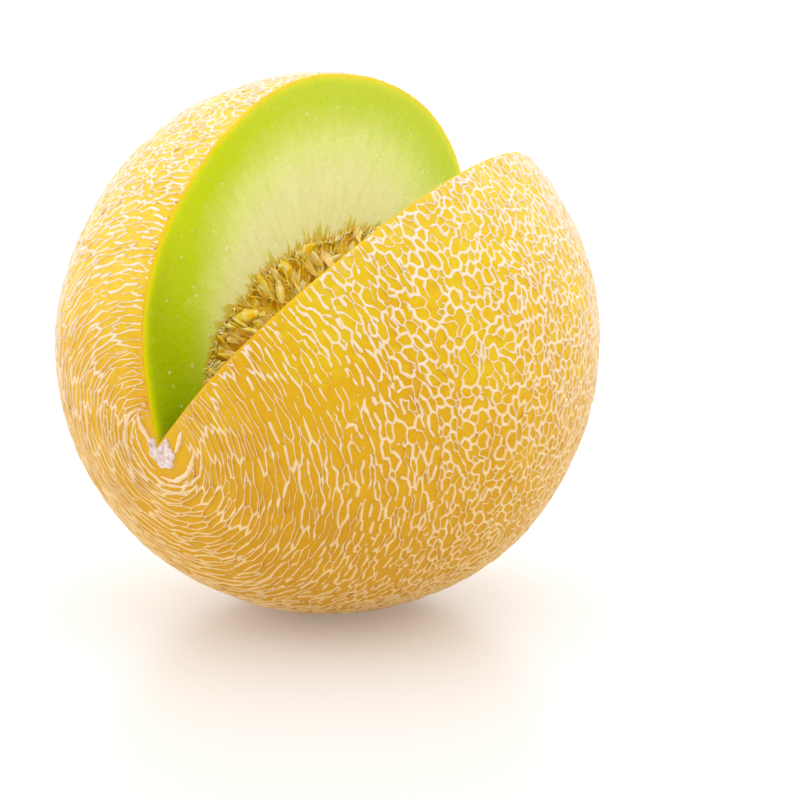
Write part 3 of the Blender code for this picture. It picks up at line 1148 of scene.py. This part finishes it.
STEM_PATCH = 0.0050
BLOSSOM_PATCH = 0.0046
PATCH_RINGS = 16
PATCH_SIDES = 64
PATCH_CLEAR = 0.0003
PATCH_PUSH = 0.0005
PATCH_FADE = 0.0004
PATCH_BURY = 0.0003
PATCH_RISE = 0.0003
PATCH_WAVES = 6
PATCH_WAVE_SIZE = 0.05
PATCH_SEEDS = {1: 5, -1: 6}
LIP_PLACE = 0.78
LIP_WIDTH = 0.16
LIP_RISE = 0.00026
GRAIN = (106.4, 0.00012)
HUMPS = (40.0, 0.0002)
STEM_ARCS = (
    (0.80, ((80, 12.2), (100, 10.6), (125, 9.3), (150, 8.7), (175, 8.4), (198, 8.2))),
    (
        0.55,
        (
            (82, 14.6), (110, 13.4), (140, 11.4), (170, 10.2),
            (200, 9.7), (230, 9.8), (258, 10.4), (285, 11.8),
        ),
    ),
    (0.42, ((215, 7.4), (240, 7.2), (262, 7.6), (290, 9.0), (312, 10.6))),
    (0.45, ((250, 12.8), (285, 13.6), (315, 13.4), (350, 12.6))),
    (0.45, ((128, 13.6), (155, 12.6), (185, 12.2), (215, 12.4), (240, 12.9))),
    (0.85, ((300, 4.0), (311, 4.9), (323, 8.9), (331, 12.7))),
    (0.70, ((51, 12.0), (57, 9.7), (66, 7.5), (84, 5.0))),
)


def clear_of_notch_array(own):
    """As clear_of_notch, for rows of points."""
    left_out = np.array([-math.cos(NOTCH_LEFT), math.sin(NOTCH_LEFT), 0.0])
    right_out = np.array([math.cos(NOTCH_RIGHT), -math.sin(NOTCH_RIGHT), 0.0])
    arm = own - np.array([*NOTCH_EDGE, 0.0])
    left = arm @ left_out
    right = arm @ right_out
    return np.maximum(left, right), np.where((left > right)[:, None], left_out, right_out)


def cork_material(name, stops, scale):
    """Dry cork: fine cracks and pores between pale ridges."""
    material, tree, shader = shader_tree(name, 0.75)
    grain = scaled(tree, object_noise(tree, scale, 4.0, roughness=0.65), 0.3, 0.7)
    feed(tree, shader, "Base Color", ramp(tree, grain, stops))
    bumps(tree, shader, grain, 0.6, 0.0003)
    return material


def noise_at(ways, fineness):
    """Noise from -1 to 1 for each direction."""
    return np.array([noise.noise(Vector(way) * fineness) for way in ways])


def patch_points(size, end):
    """Rings of points for a rough patch with a raised lip, and whether each is clear of the notch."""
    rng = np.random.default_rng(PATCH_SEEDS[end])
    waves = rng.uniform(0.0, 2.0 * math.pi, PATCH_WAVES)
    rings, sides = np.meshgrid(np.arange(1, PATCH_RINGS + 1), np.arange(PATCH_SIDES), indexing="ij")
    turn = sides.ravel() * 2.0 * math.pi / PATCH_SIDES
    part = rings.ravel() / PATCH_RINGS
    outline = sum(PATCH_WAVE_SIZE * np.sin((k + 2) * turn + wave) for k, wave in enumerate(waves))
    angle = part * (1.0 + outline * part) * size / skin_reach(0.0)
    way = np.stack(
        [np.sin(angle) * np.cos(turn), np.sin(angle) * np.sin(turn), end * np.cos(angle)], axis=-1
    )
    reach = skin_reach(angle if end > 0 else math.pi - angle)
    height = PATCH_RISE + LIP_RISE * np.exp(-(((part - LIP_PLACE) / LIP_WIDTH) ** 2))
    for fineness, rise in (GRAIN, HUMPS):
        height = height + rise * noise_at(way, fineness)
    height = np.where(rings.ravel() == PATCH_RINGS, -PATCH_BURY, height)
    own = way * (reach + height)[:, None]
    if end < 0:
        return own, np.ones(len(own), bool)
    clear, way_out = clear_of_notch_array(own)
    own = own + way_out * np.maximum(PATCH_CLEAR - clear, 0.0)[:, None]
    sunk = np.clip(1.0 - (clear - PATCH_CLEAR) / PATCH_FADE, 0.0, 1.0)
    own = own * (1.0 - sunk * (height + PATCH_BURY) / reach)[:, None]
    return own, clear > PATCH_CLEAR - PATCH_PUSH


def patch_mesh(name, size, end):
    """A round patch of rough cork on the stem end (end 1) or the blossom end (end -1)."""
    own, keep = patch_points(size, end)
    middle = end * (skin_reach(0.0 if end > 0 else math.pi) + PATCH_RISE)
    own = np.concatenate([own, [[0.0, 0.0, middle]]])
    keep = np.append(keep, True)
    rows = [
        [ring * PATCH_SIDES + side % PATCH_SIDES for side in range(PATCH_SIDES + 1)]
        for ring in range(PATCH_RINGS)
    ]
    faces = grid_faces([[len(own) - 1] * (PATCH_SIDES + 1), *rows])
    faces = [face[::-end] for face in faces if all(keep[v] for v in face)]
    mesh = bpy.data.meshes.new(name)
    mesh.from_pydata(own, [], faces)
    mesh.transform(OWN_FRAME)
    mesh.shade_smooth()
    return mesh


scar_cork = cork_material("scar_cork", ((0.0, (206, 172, 158)), (1.0, (250, 236, 230))), 700.0)
for name, size, end in (("stem_scar", STEM_PATCH, 1), ("blossom_scar", BLOSSOM_PATCH, -1)):
    patch = new_object(name, patch_mesh(name, size, end))
    patch.data.materials.append(scar_cork)
    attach(patch, "root")


ARC_STEP = 3.0
ARC_THICKNESS = 0.001
ARC_WANDER = 0.0012
ARC_WANDER_FINENESS = 300.0
ARC_THICKNESS_FINENESS = 700.0
ARC_SIDES = 10


def arcs_tree(material):
    """Thick tapering ridges along the curves of a mesh of lines."""
    tree, given, result = geometry_tree(
        "stem_ridges",
        {"Thickness": "NodeSocketFloat", "Wander": "NodeSocketFloat", "Swell height": "NodeSocketFloat"},
    )
    size = {s.name: s for s in given.outputs}
    astray = vec(tree, "SCALE", wander(tree, ARC_WANDER_FINENESS, 1.0), size["Wander"])
    lines = moved(tree, given.outputs[0], Offset=astray)
    outward = vec(tree, "NORMALIZE", position(tree))
    lump = lump_height(tree, outward, size["Swell height"])
    lines = moved(tree, lines, Offset=vec(tree, "SCALE", outward, lump))
    lines = stored(tree, lines, "crest", 0.8)
    curves = add_node(tree, "GeometryNodeMeshToCurve", {"Mesh": lines})
    along = out(add_node(tree, "GeometryNodeSplineParameter"), "Factor")
    taper = calc(tree, "SINE", times(tree, along, math.pi))
    taper = calc(tree, "POWER", calc(tree, "MAXIMUM", taper, 0.02), 0.45)
    uneven = place_noise(tree, position(tree), ARC_THICKNESS_FINENESS, 1.0)
    taper = times(tree, taper, smooth_step(tree, uneven, 0.25, 0.75, 0.65, 1.25))
    width = times(tree, named(tree, "thickness"), size["Thickness"], taper)
    thick = add_node(tree, "GeometryNodeSetCurveRadius", {"Curve": out(curves), "Radius": width})
    ring = add_node(tree, "GeometryNodeCurvePrimitiveCircle", {"Resolution": ARC_SIDES, "Radius": 1.0})
    ridges = add_node(
        tree,
        "GeometryNodeCurveToMesh",
        {"Curve": out(thick), "Profile Curve": out(ring), "Fill Caps": True, "Scale": width},
    )
    return end_tree(tree, result, out(ridges), material)


arc_points = []
arc_edges = []
arc_sizes = []
for width, corners in STEM_ARCS:
    degrees, radii = zip(*corners)
    steps = int((degrees[-1] - degrees[0]) / ARC_STEP) + 1
    turn = np.linspace(degrees[0], degrees[-1], steps)
    angle = np.interp(turn, degrees, radii) / MM_IN_A_METRE / skin_reach(0.0)
    turn = np.radians(turn)
    ways = np.stack([np.sin(angle) * np.sin(turn), np.sin(angle) * np.cos(turn), np.cos(angle)], axis=-1)
    first = len(arc_points)
    arc_points += list(ways * skin_reach(angle)[:, None])
    arc_edges += [(number, number + 1) for number in range(first, first + steps - 1)]
    arc_sizes += [width] * steps
arc_mesh = bpy.data.meshes.new("stem_ridge_lines")
arc_mesh.from_pydata(arc_points, arc_edges, [])
add_values(arc_mesh, "thickness", arc_sizes)
carrier = new_object("arc_carrier", arc_mesh)
sizes = {"Thickness": ARC_THICKNESS, "Wander": ARC_WANDER, "Swell height": LUMP_HEIGHT}
ridge_mesh = run_tree(carrier, arcs_tree(cork), sizes, "stem_ridges")
bpy.data.objects.remove(carrier)
ridge_mesh.transform(OWN_FRAME)
ridge_mesh.shade_smooth()
stem_ridges = new_object("stem_ridges", ridge_mesh)
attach(stem_ridges, "root")

# Seed pulp
# The soft wet mass that holds the seeds, cut by the same two knife strokes, which left it torn and uneven.
# It lifts out of the cavity with a spoon.

PULP_GAP = 0.0004
PULP_RECESS = 0.0013
PULP_REACH = 0.09
PULP_COLUMNS = 44
PULP_STEPS = 84
PULP_ROWS = 30
TEAR_DEPTH = 0.0036
TEAR_STREAKS = (420.0, 0.25)
TORN_FROM_RIM = 0.2
TORN_FROM_EDGE = 0.4

bisector = (NOTCH_LEFT + NOTCH_RIGHT) / 2.0
half_notch = (NOTCH_RIGHT - NOTCH_LEFT) / 2.0
way_in = np.array([math.sin(bisector), math.cos(bisector)])
pulp_edge = NOTCH_EDGE - way_in * PULP_RECESS / math.sin(half_notch)


def torn_share(share):
    """How torn a cut face of the pulp is, from its rim at 0 to the notch's inner edge at 1."""
    return min(1.0, share / TORN_FROM_RIM) * min(1.0, (1.0 - share) / TORN_FROM_EDGE)


def pulp_mesh():
    """A closed mesh: the cavity's wall, and a face beside each cut, set back from it."""
    wall = section_points(
        np.linspace(NOTCH_RIGHT, NOTCH_END, PULP_COLUMNS + 1),
        np.linspace(0.0, math.pi, PULP_STEPS + 1),
        pulp_edge,
        CAVITY_CENTRE,
        PULP_REACH,
        lambda own: cavity_clearance(own) > -PULP_GAP,
    )
    body = Body()
    front, back = body.add([wall[0, 0], wall[0, -1]])
    line = np.linspace(wall[0, 0, 2], wall[0, -1, 2], PULP_STEPS + 1)[1:-1]
    inner = [front, *body.add([np.array([*pulp_edge, z]) for z in line]), back]
    rows = [[front, *body.add(list(row[1:-1])), back] for row in wall]
    body.faces += grid_faces(rows)
    torn = [0.0] * len(body.points)
    for rim_row, flip in ((rows[0], True), (rows[-1], False)):
        rim = np.array([body.points[n] for n in rim_row])
        foot = np.array([body.points[n] for n in inner])
        face_rows = [rim_row]
        for step in range(1, PULP_ROWS):
            share = step / PULP_ROWS
            middle = list(rim[1:-1] + share * (foot[1:-1] - rim[1:-1]))
            face_rows.append([front, *body.add(middle), back])
            torn += [torn_share(share)] * len(middle)
        face_rows.append(inner)
        body.faces += grid_faces(face_rows[::-1] if flip else face_rows)
    mesh = bpy.data.meshes.new("pulp")
    mesh.from_pydata(body.points, [], body.faces)
    add_values(mesh, "torn", torn)
    return mesh


def torn_tree(material):
    """Tears the cut faces of the pulp into ridges that run out from its middle."""
    tree, given, result = geometry_tree("torn_pulp", {"Depth": "NodeSocketFloat"})
    rough = streaks(tree, position(tree), TEAR_STREAKS, 3.0)
    high = times(tree, minus(tree, rough, 0.5), given.outputs["Depth"])
    high = times(tree, high, named(tree, "torn"))
    normal = out(add_node(tree, "GeometryNodeInputNormal"), "Normal")
    pulp = moved(tree, given.outputs[0], Offset=vec(tree, "SCALE", normal, high))
    pulp = stored(tree, pulp, "high", high)
    return end_tree(tree, result, pulp, material)


PULP_COLOURS = (
    (0.0, (244, 160, 0)),
    (0.3, (255, 198, 16)),
    (0.6, (255, 226, 60)),
    (1.0, (255, 242, 150)),
)
STRAND_FINENESS = 700.0
STRAND_STRETCH = (1.0, 0.35, 0.35)
FOLD_SHADE_CONTRAST = 260.0


def pulp_material():
    """Wet golden pulp, with painted shade that makes it darker and more orange in its folds."""
    material, tree, shader = shader_tree("pulp", 0.22)
    strands = object_noise(tree, STRAND_FINENESS, 3.0, STRAND_STRETCH)
    # Painted shade: where the torn face lies deeper, the pulp is darker and more orange.
    fold_shade = plus(tree, times(tree, attribute(tree, "high"), FOLD_SHADE_CONTRAST), strands)
    feed(tree, shader, "Base Color", ramp(tree, scaled(tree, fold_shade, 0.2, 0.95), PULP_COLOURS))
    return material


carrier = new_object("pulp_carrier", pulp_mesh())
torn_mesh = run_tree(carrier, torn_tree(pulp_material()), {"Depth": TEAR_DEPTH}, "pulp")
bpy.data.objects.remove(carrier)
torn_mesh.transform(OWN_FRAME)
torn_mesh.shade_smooth()
pulp = new_object("pulp", torn_mesh)
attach(pulp, "root")
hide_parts("seed_pulp")

# Seeds
# Flattened teardrops with a smooth tough coat, their points to the flesh and round ends to the middle.
# They hang in the pulp in rows along the cavity's wall, and the knife has bared those by the cut faces.

SEED_LENGTH = 0.0105
SEED_WIDTH = 0.0046
SEED_THICKNESS = 0.0019
SEED_EGG = 0.80
SEED_BLUNTNESS = 0.75
SEED_FLATNESS = 1.15
SEED_RINGS = 12
SEED_SIDES = 16


def seed_mesh(name, rings, sides):
    """A seed along Z with its round end up, its width on X and its thickness on Y."""
    part = 0.5 - 0.5 * np.cos(math.pi * np.arange(1, rings) / rings)
    half = 0.5 * np.sin(math.pi * part**SEED_EGG) ** SEED_BLUNTNESS
    turn = np.arange(sides) * 2.0 * math.pi / sides
    flat = np.sign(np.sin(turn)) * np.abs(np.sin(turn)) ** SEED_FLATNESS
    body = Body()
    rows = []
    for height, width in zip(SEED_LENGTH * (part - 0.5), half):
        across = SEED_WIDTH * width * np.cos(turn)
        through = SEED_THICKNESS * width * flat
        ring = body.add(list(np.stack([across, through, np.full(sides, height)], axis=-1)))
        rows.append([*ring, ring[0]])
    ends = [np.array([0.0, 0.0, z]) for z in (-SEED_LENGTH / 2, SEED_LENGTH / 2)]
    point, crown = body.add(ends)
    body.faces = grid_faces([[crown] * (sides + 1), *rows[::-1], [point] * (sides + 1)])
    mesh = bpy.data.meshes.new(name)
    mesh.from_pydata(body.points, [], body.faces)
    mesh.shade_smooth()
    return mesh


SEED_COLOURS = ((0.0, (252, 196, 84)), (0.5, (255, 218, 120)), (1.0, (255, 240, 190)))


def wet_material(name, stops, fineness, roughness):
    """A wet surface whose colour changes from one thread or seed to the next."""
    material, tree, shader = shader_tree(name, roughness)
    tint = scaled(tree, object_noise(tree, fineness), 0.3, 0.7)
    feed(tree, shader, "Base Color", ramp(tree, tint, stops))
    return material, shader


def seed_pose(node):
    """Where a CAD seed is: its middle, its axes and its size, from its vertices."""
    places = np.array([v.co for v in node.data.vertices])
    middle = places.mean(axis=0)
    _, _, axes = np.linalg.svd(places - middle, full_matrices=False)
    lengthwise, broad, _ = axes
    along = (places - middle) @ lengthwise
    if abs(along.min()) < along.max():
        lengthwise = -lengthwise
        along = -along
    size = (along.max() - along.min()) / SEED_LENGTH
    centre = middle + lengthwise * (along.max() + along.min()) / 2.0
    thick = np.cross(lengthwise, broad)
    turn = Matrix((broad, thick, lengthwise)).transposed().to_4x4()
    return Matrix.Translation(Vector(centre)) @ turn @ Matrix.Scale(size, 4)


seed_look, seed_shader = wet_material("seed_coat", SEED_COLOURS, 350.0, 0.16)
seed_shader.inputs["Coat Weight"].default_value = 0.5
seed_nodes = sorted(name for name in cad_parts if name.startswith("seed_") and name != "seed_pulp")
for name in seed_nodes:
    mesh = seed_mesh(name + "_shape", SEED_RINGS, SEED_SIDES)
    mesh.transform(seed_pose(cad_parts[name]))
    mesh.materials.append(seed_look)
    piece = new_object(name + "_seen", mesh)
    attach(piece, "root")
    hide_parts(name)

# Fibres and inner seeds
# Threads of pulp hang between the cavity's wall and the seeds, wet lumps of it cling to them, and more
# seeds show between the first rows. A fringe of short threads runs from the cavity into the pale flesh.

THREAD_COLOURS = ((0.0, (255, 196, 16)), (0.4, (255, 222, 60)), (1.0, (255, 248, 190)))
FRINGE_COLOURS = ((0.0, (232, 186, 24)), (0.4, (246, 218, 90)), (1.0, (255, 246, 210)))
THREAD_TAPER = 0.6
STRAND_RISE = (-0.02, 0.12)
STRAND_BACK = (0.0002, 0.0016)
STRAND_LENGTH = (0.15, 0.75)
STRAND_WIDTH = (0.6, 1.3)


def strand_mesh(name, length, radius, bend, segments=5, sides=4):
    """A bent thread along Z that tapers to a point, closed at both ends."""
    body = Body()
    rows = []
    turns = [2.0 * math.pi * side / sides for side in range(sides)]
    for step in range(segments):
        part = step / segments
        width = radius * (1.0 - part) ** THREAD_TAPER
        x = bend * math.sin(math.pi * part)
        y = 0.5 * bend * part * part
        ring = body.add([
            np.array([x + width * math.cos(turn), y + width * math.sin(turn), length * part])
            for turn in turns
        ])
        rows.append([*ring, ring[0]])
    foot, tip = body.add([np.array([0.0, 0.0, -radius]), np.array([0.0, 0.5 * bend, length])])
    body.faces = grid_faces([[tip] * (sides + 1), *rows[::-1], [foot] * (sides + 1)])
    mesh = bpy.data.meshes.new(name)
    mesh.from_pydata(body.points, [], body.faces)
    mesh.shade_smooth()
    return mesh


def towards_wall(tree):
    """The way from the cavity's middle out through a point."""
    arm = vec(tree, "SUBTRACT", position(tree), Vector((0.0, 0.0, CAVITY_CENTRE)))
    return vec(tree, "NORMALIZE", arm)


def luck(tree, size, number, low, high):
    """A random number for each element, another one for each number."""
    return random_number(tree, low, high, plus(tree, size["Seed"], float(number)))


def planted(tree, points, shape, way, spin, scale):
    """Copies of a shape on points, their length along a way and turned about it by a spin."""
    start = add_node(tree, "FunctionNodeEulerToRotation", {0: joined(tree, 0.0, 0.0, spin)})
    turned = add_node(
        tree, "FunctionNodeAlignRotationToVector", {"Rotation": out(start), "Vector": way}, axis="Z"
    )
    source = add_node(tree, "GeometryNodeObjectInfo", {"Object": shape, "As Instance": True})
    copies = add_node(
        tree,
        "GeometryNodeInstanceOnPoints",
        {
            "Points": points,
            "Instance": out(source, "Geometry"),
            "Rotation": out(turned),
            "Scale": scale,
        },
    )
    return out(copies)


def scatter_tree(name, shape, material, torn_limits, clear_limit, outward):
    """Copies of a shape over the pulp, where it is torn as much as the limits say and near the cuts.

    They point out to the wall or in from it, leaning at random, and stand off the surface a little.
    """
    tree, given, result = geometry_tree(
        name,
        {
            "Density": "NodeSocketFloat",
            "Seed": "NodeSocketInt",
            "Spread": "NodeSocketFloat",
            "Smallest": "NodeSocketFloat",
            "Lift": "NodeSocketFloat",
            "Stand": "NodeSocketFloat",
        },
    )
    size = {s.name: s for s in given.outputs}
    torn = named(tree, "torn")
    clear, _ = clear_of_notch(tree, position(tree))
    chosen = times(
        tree,
        calc(tree, "GREATER_THAN", torn, torn_limits[0]),
        calc(tree, "LESS_THAN", torn, torn_limits[1]),
        calc(tree, "LESS_THAN", clear, clear_limit),
        size["Density"],
    )
    spread = add_node(
        tree,
        "GeometryNodeDistributePointsOnFaces",
        {"Mesh": given.outputs[0], "Density": chosen, "Seed": size["Seed"]},
    )
    normal = out(spread, "Normal")
    points = moved(tree, out(spread, "Points"), Offset=vec(tree, "SCALE", normal, size["Lift"]))
    shake = add_node(
        tree,
        "FunctionNodeRandomValue",
        {0: Vector((-1.0, -1.0, -1.0)), 1: Vector((1.0, 1.0, 1.0)), "Seed": size["Seed"]},
        data_type="FLOAT_VECTOR",
    )
    way = vec(tree, "SCALE", towards_wall(tree), outward)
    way = vec(tree, "ADD", way, vec(tree, "SCALE", out(shake), size["Spread"]))
    way = vec(tree, "ADD", way, vec(tree, "SCALE", normal, size["Stand"]))
    spin = luck(tree, size, 3, 0.0, 2.0 * math.pi)
    copies = planted(tree, points, shape, way, spin, luck(tree, size, 5, size["Smallest"], 1.0))
    return end_tree(tree, result, copies, material)


def fringe_tree(name, shape, material, outward):
    """Strands along a line round the cavity, pointing out over the flesh or in over the pulp."""
    tree, given, result = geometry_tree(
        name,
        {
            "Spacing": "NodeSocketFloat",
            "Seed": "NodeSocketInt",
            "Lean": "NodeSocketFloat",
            "Depth": "NodeSocketFloat",
            "Facing": "NodeSocketVector",
        },
    )
    size = {s.name: s for s in given.outputs}
    facing = size["Facing"]
    curve = add_node(tree, "GeometryNodeMeshToCurve", {"Mesh": given.outputs[0]})
    points = add_node(
        tree,
        "GeometryNodeCurveToPoints",
        {"Curve": out(curve), "Length": size["Spacing"]},
        mode="LENGTH",
    )
    way = towards_wall(tree)
    way = vec(tree, "SUBTRACT", way, vec(tree, "SCALE", facing, vec(tree, "DOT_PRODUCT", way, facing)))
    way = vec(tree, "SCALE", vec(tree, "NORMALIZE", way), outward)
    sideways = vec(tree, "CROSS_PRODUCT", way, facing)
    lean = times(tree, luck(tree, size, 0, -1.0, 1.0), size["Lean"])
    way = vec(tree, "ADD", way, vec(tree, "SCALE", sideways, lean))
    way = vec(tree, "ADD", way, vec(tree, "SCALE", facing, luck(tree, size, 1, *STRAND_RISE)))
    spin = luck(tree, size, 2, 0.0, 2.0 * math.pi)
    low = times(tree, luck(tree, size, 3, 0.0, 1.0), size["Depth"])
    back = times(tree, luck(tree, size, 4, *STRAND_BACK), -1.0)
    back = vec(tree, "SCALE", towards_wall(tree), back)
    offset = vec(tree, "SUBTRACT", back, vec(tree, "SCALE", facing, low))
    feet = moved(tree, out(points, "Points"), Offset=offset)
    length = luck(tree, size, 5, *STRAND_LENGTH)
    width = luck(tree, size, 6, *STRAND_WIDTH)
    copies = planted(tree, feet, shape, way, spin, joined(tree, width, width, length))
    return end_tree(tree, result, copies, material)


def place_strands(mesh, name):
    """Turn a finished mesh of copies from the fruit's own axes and make it a piece."""
    mesh.transform(OWN_FRAME)
    mesh.shade_smooth()
    piece = new_object(name, mesh)
    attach(piece, "root")


thread_look, _ = wet_material("pulp_threads", THREAD_COLOURS, 420.0, 0.2)
fringe_look, _ = wet_material("fringe_threads", FRINGE_COLOURS, 420.0, 0.3)
thread_mesh = strand_mesh("thread_shape", length=0.0085, radius=0.0003, bend=0.0016)
spike_mesh = strand_mesh("spike_shape", length=0.0050, radius=0.00046, bend=0.0004)
thread = new_object("thread_shape", thread_mesh)
spike = new_object("spike_shape", spike_mesh)
drop = new_object("drop_shape", seed_mesh("drop_shape", rings=6, sides=8))
small_seed = new_object("small_seed_shape", seed_mesh("small_seed_shape", rings=7, sides=10))

ANYWHERE = 1.0
NEAR_THE_CUTS = 0.0046
SCATTERS = {
    "face_threads": (
        (thread, thread_look, (0.1, 2.0), ANYWHERE, -1.0),
        {"Seed": 21, "Density": 2.4e5, "Spread": 0.6, "Smallest": 0.35, "Lift": 0.0, "Stand": 0.25},
    ),
    "wall_threads": (
        (thread, thread_look, (-1.0, 0.05), NEAR_THE_CUTS, -1.0),
        {"Seed": 22, "Density": 4.2e5, "Spread": 0.35, "Smallest": 0.35, "Lift": 0.0, "Stand": 0.0},
    ),
    "pulp_lumps": (
        (drop, thread_look, (0.1, 2.0), ANYWHERE, 1.0),
        {"Seed": 24, "Density": 9.0e4, "Spread": 0.7, "Smallest": 0.15, "Lift": 0.001, "Stand": 0.3},
    ),
    "inner_seeds": (
        (small_seed, seed_look, (0.2, 2.0), ANYWHERE, -1.0),
        {"Seed": 25, "Density": 4.0e4, "Spread": 0.7, "Smallest": 0.5, "Lift": 0.0006, "Stand": 0.25},
    ),
}
carrier = new_object("scatter_carrier", torn_mesh.copy())
carrier.data.transform(OWN_FRAME.inverted())
for name, (kind, values) in SCATTERS.items():
    mesh = run_tree(carrier, scatter_tree(name, *kind), values, name)
    place_strands(mesh, name)
bpy.data.objects.remove(carrier)

FRINGES = {
    "fringe": (
        (spike, fringe_look, 1.0),
        {"Seed": 31, "Spacing": 0.0007, "Lean": 0.3, "Depth": 0.0004},
    ),
    "hanging_threads": (
        (thread, thread_look, -1.0),
        {"Seed": 32, "Spacing": 0.0007, "Lean": 0.8, "Depth": 0.0022},
    ),
}
CUTS = (("left", cavity_rows[-1], NOTCH_LEFT, 1.0), ("right", cavity_rows[0], NOTCH_RIGHT, -1.0))
for side, rim, turn, sign in CUTS:
    line_mesh = bpy.data.meshes.new("cavity_line")
    line_mesh.from_pydata(own_points[rim], [(k, k + 1) for k in range(len(rim) - 1)], [])
    carrier = new_object("cavity_line", line_mesh)
    facing = (sign * math.cos(turn), -sign * math.sin(turn), 0.0)
    for name, (kind, values) in FRINGES.items():
        tree = fringe_tree(name, *kind)
        mesh = run_tree(carrier, tree, {**values, "Facing": facing}, f"{name}_{side}")
        place_strands(mesh, f"{name}_{side}")
    bpy.data.objects.remove(carrier)
for shape in (thread, spike, drop, small_seed):
    bpy.data.objects.remove(shape)

# Photo's view
# A plain pale floor, a bright studio with a large soft light above and a lower one on the left, and the
# camera where the photo was taken. The floor glows a little, as a lit white sheet does.

VIEW_TURN = math.radians(39.22)
VIEW_RISE = math.radians(12.0)
VIEW_DISTANCE = 0.7717
LENS_MM = 120.7
SENSOR_MM = 36.0
PHOTO_SIDE = 800
CENTRE_PIXEL = (329.6, 342.8)

view_back = Vector((
    math.sin(VIEW_TURN) * math.cos(VIEW_RISE),
    -math.cos(VIEW_TURN) * math.cos(VIEW_RISE),
    math.sin(VIEW_RISE),
))
view_right = Vector((math.cos(VIEW_TURN), math.sin(VIEW_TURN), 0.0))
view_up = view_back.cross(view_right)
focal = LENS_MM / SENSOR_MM * PHOTO_SIDE
across = (CENTRE_PIXEL[0] - PHOTO_SIDE / 2) / focal
above = -(CENTRE_PIXEL[1] - PHOTO_SIDE / 2) / focal
towards = (view_right * across + view_up * above - view_back).normalized()
camera_data = bpy.data.cameras.new("camera")
camera_data.lens = LENS_MM
camera_data.sensor_width = SENSOR_MM
camera_data.clip_start = 0.01
camera_data.clip_end = 20.0
camera = bpy.data.objects.new("camera", camera_data)
camera.matrix_world = Matrix.Translation(FRUIT_CENTRE - towards * VIEW_DISTANCE) @ Matrix(
    (view_right, view_up, view_back)
).transposed().to_4x4()
bpy.context.scene.collection.objects.link(camera)
bpy.context.scene.camera = camera

FLOOR_SIDE = 6.0
FLOOR_WHITE = (0.72, 0.72, 0.72, 1.0)
FLOOR_GLOW = 0.17
WHITE = (1.0, 1.0, 1.0, 1.0)
SKY_BEHIND = 1.4
SKY_IN_FRONT = 0.85
SKY_BLEND = (-0.4, 0.9)

floor_mesh = bpy.data.meshes.new("floor")
half = FLOOR_SIDE / 2
floor_mesh.from_pydata(
    [(-half, -half, 0.0), (half, -half, 0.0), (half, half, 0.0), (-half, half, 0.0)], [], [(0, 1, 2, 3)]
)
floor = new_object("floor", floor_mesh)
floor_material, _, floor_shader = shader_tree("floor", 0.28)
floor_shader.inputs["Base Color"].default_value = FLOOR_WHITE
floor_shader.inputs["Emission Color"].default_value = WHITE
floor_shader.inputs["Emission Strength"].default_value = FLOOR_GLOW
floor.data.materials.append(floor_material)

world = bpy.data.worlds.new("studio")
world.use_nodes = True
sky = world.node_tree
sky_way = out(add_node(sky, "ShaderNodeTexCoord"), "Generated")
in_front = vec(sky, "DOT_PRODUCT", sky_way, view_back)
strength = smooth_step(sky, in_front, *SKY_BLEND, SKY_BEHIND, SKY_IN_FRONT)
feed(sky, sky.nodes["Background"], "Strength", strength)
sky.nodes["Background"].inputs["Color"].default_value = WHITE
bpy.context.scene.world = world


def soft_light(name, place, size, power):
    """A square soft box aimed at the fruit."""
    data = bpy.data.lights.new(name, "AREA")
    data.size = size
    data.energy = power
    made = bpy.data.objects.new(name, data)
    made.location = place
    made.rotation_euler = (Vector(place) - FRUIT_CENTRE).to_track_quat("Z", "Y").to_euler()
    bpy.context.scene.collection.objects.link(made)


soft_light("key_light", (0.46, -0.05, 0.86), size=0.8, power=1.7)
soft_light("fill_light", (-0.80, -0.50, 0.30), size=0.8, power=2.3)
bpy.context.scene.view_settings.view_transform = "Standard"
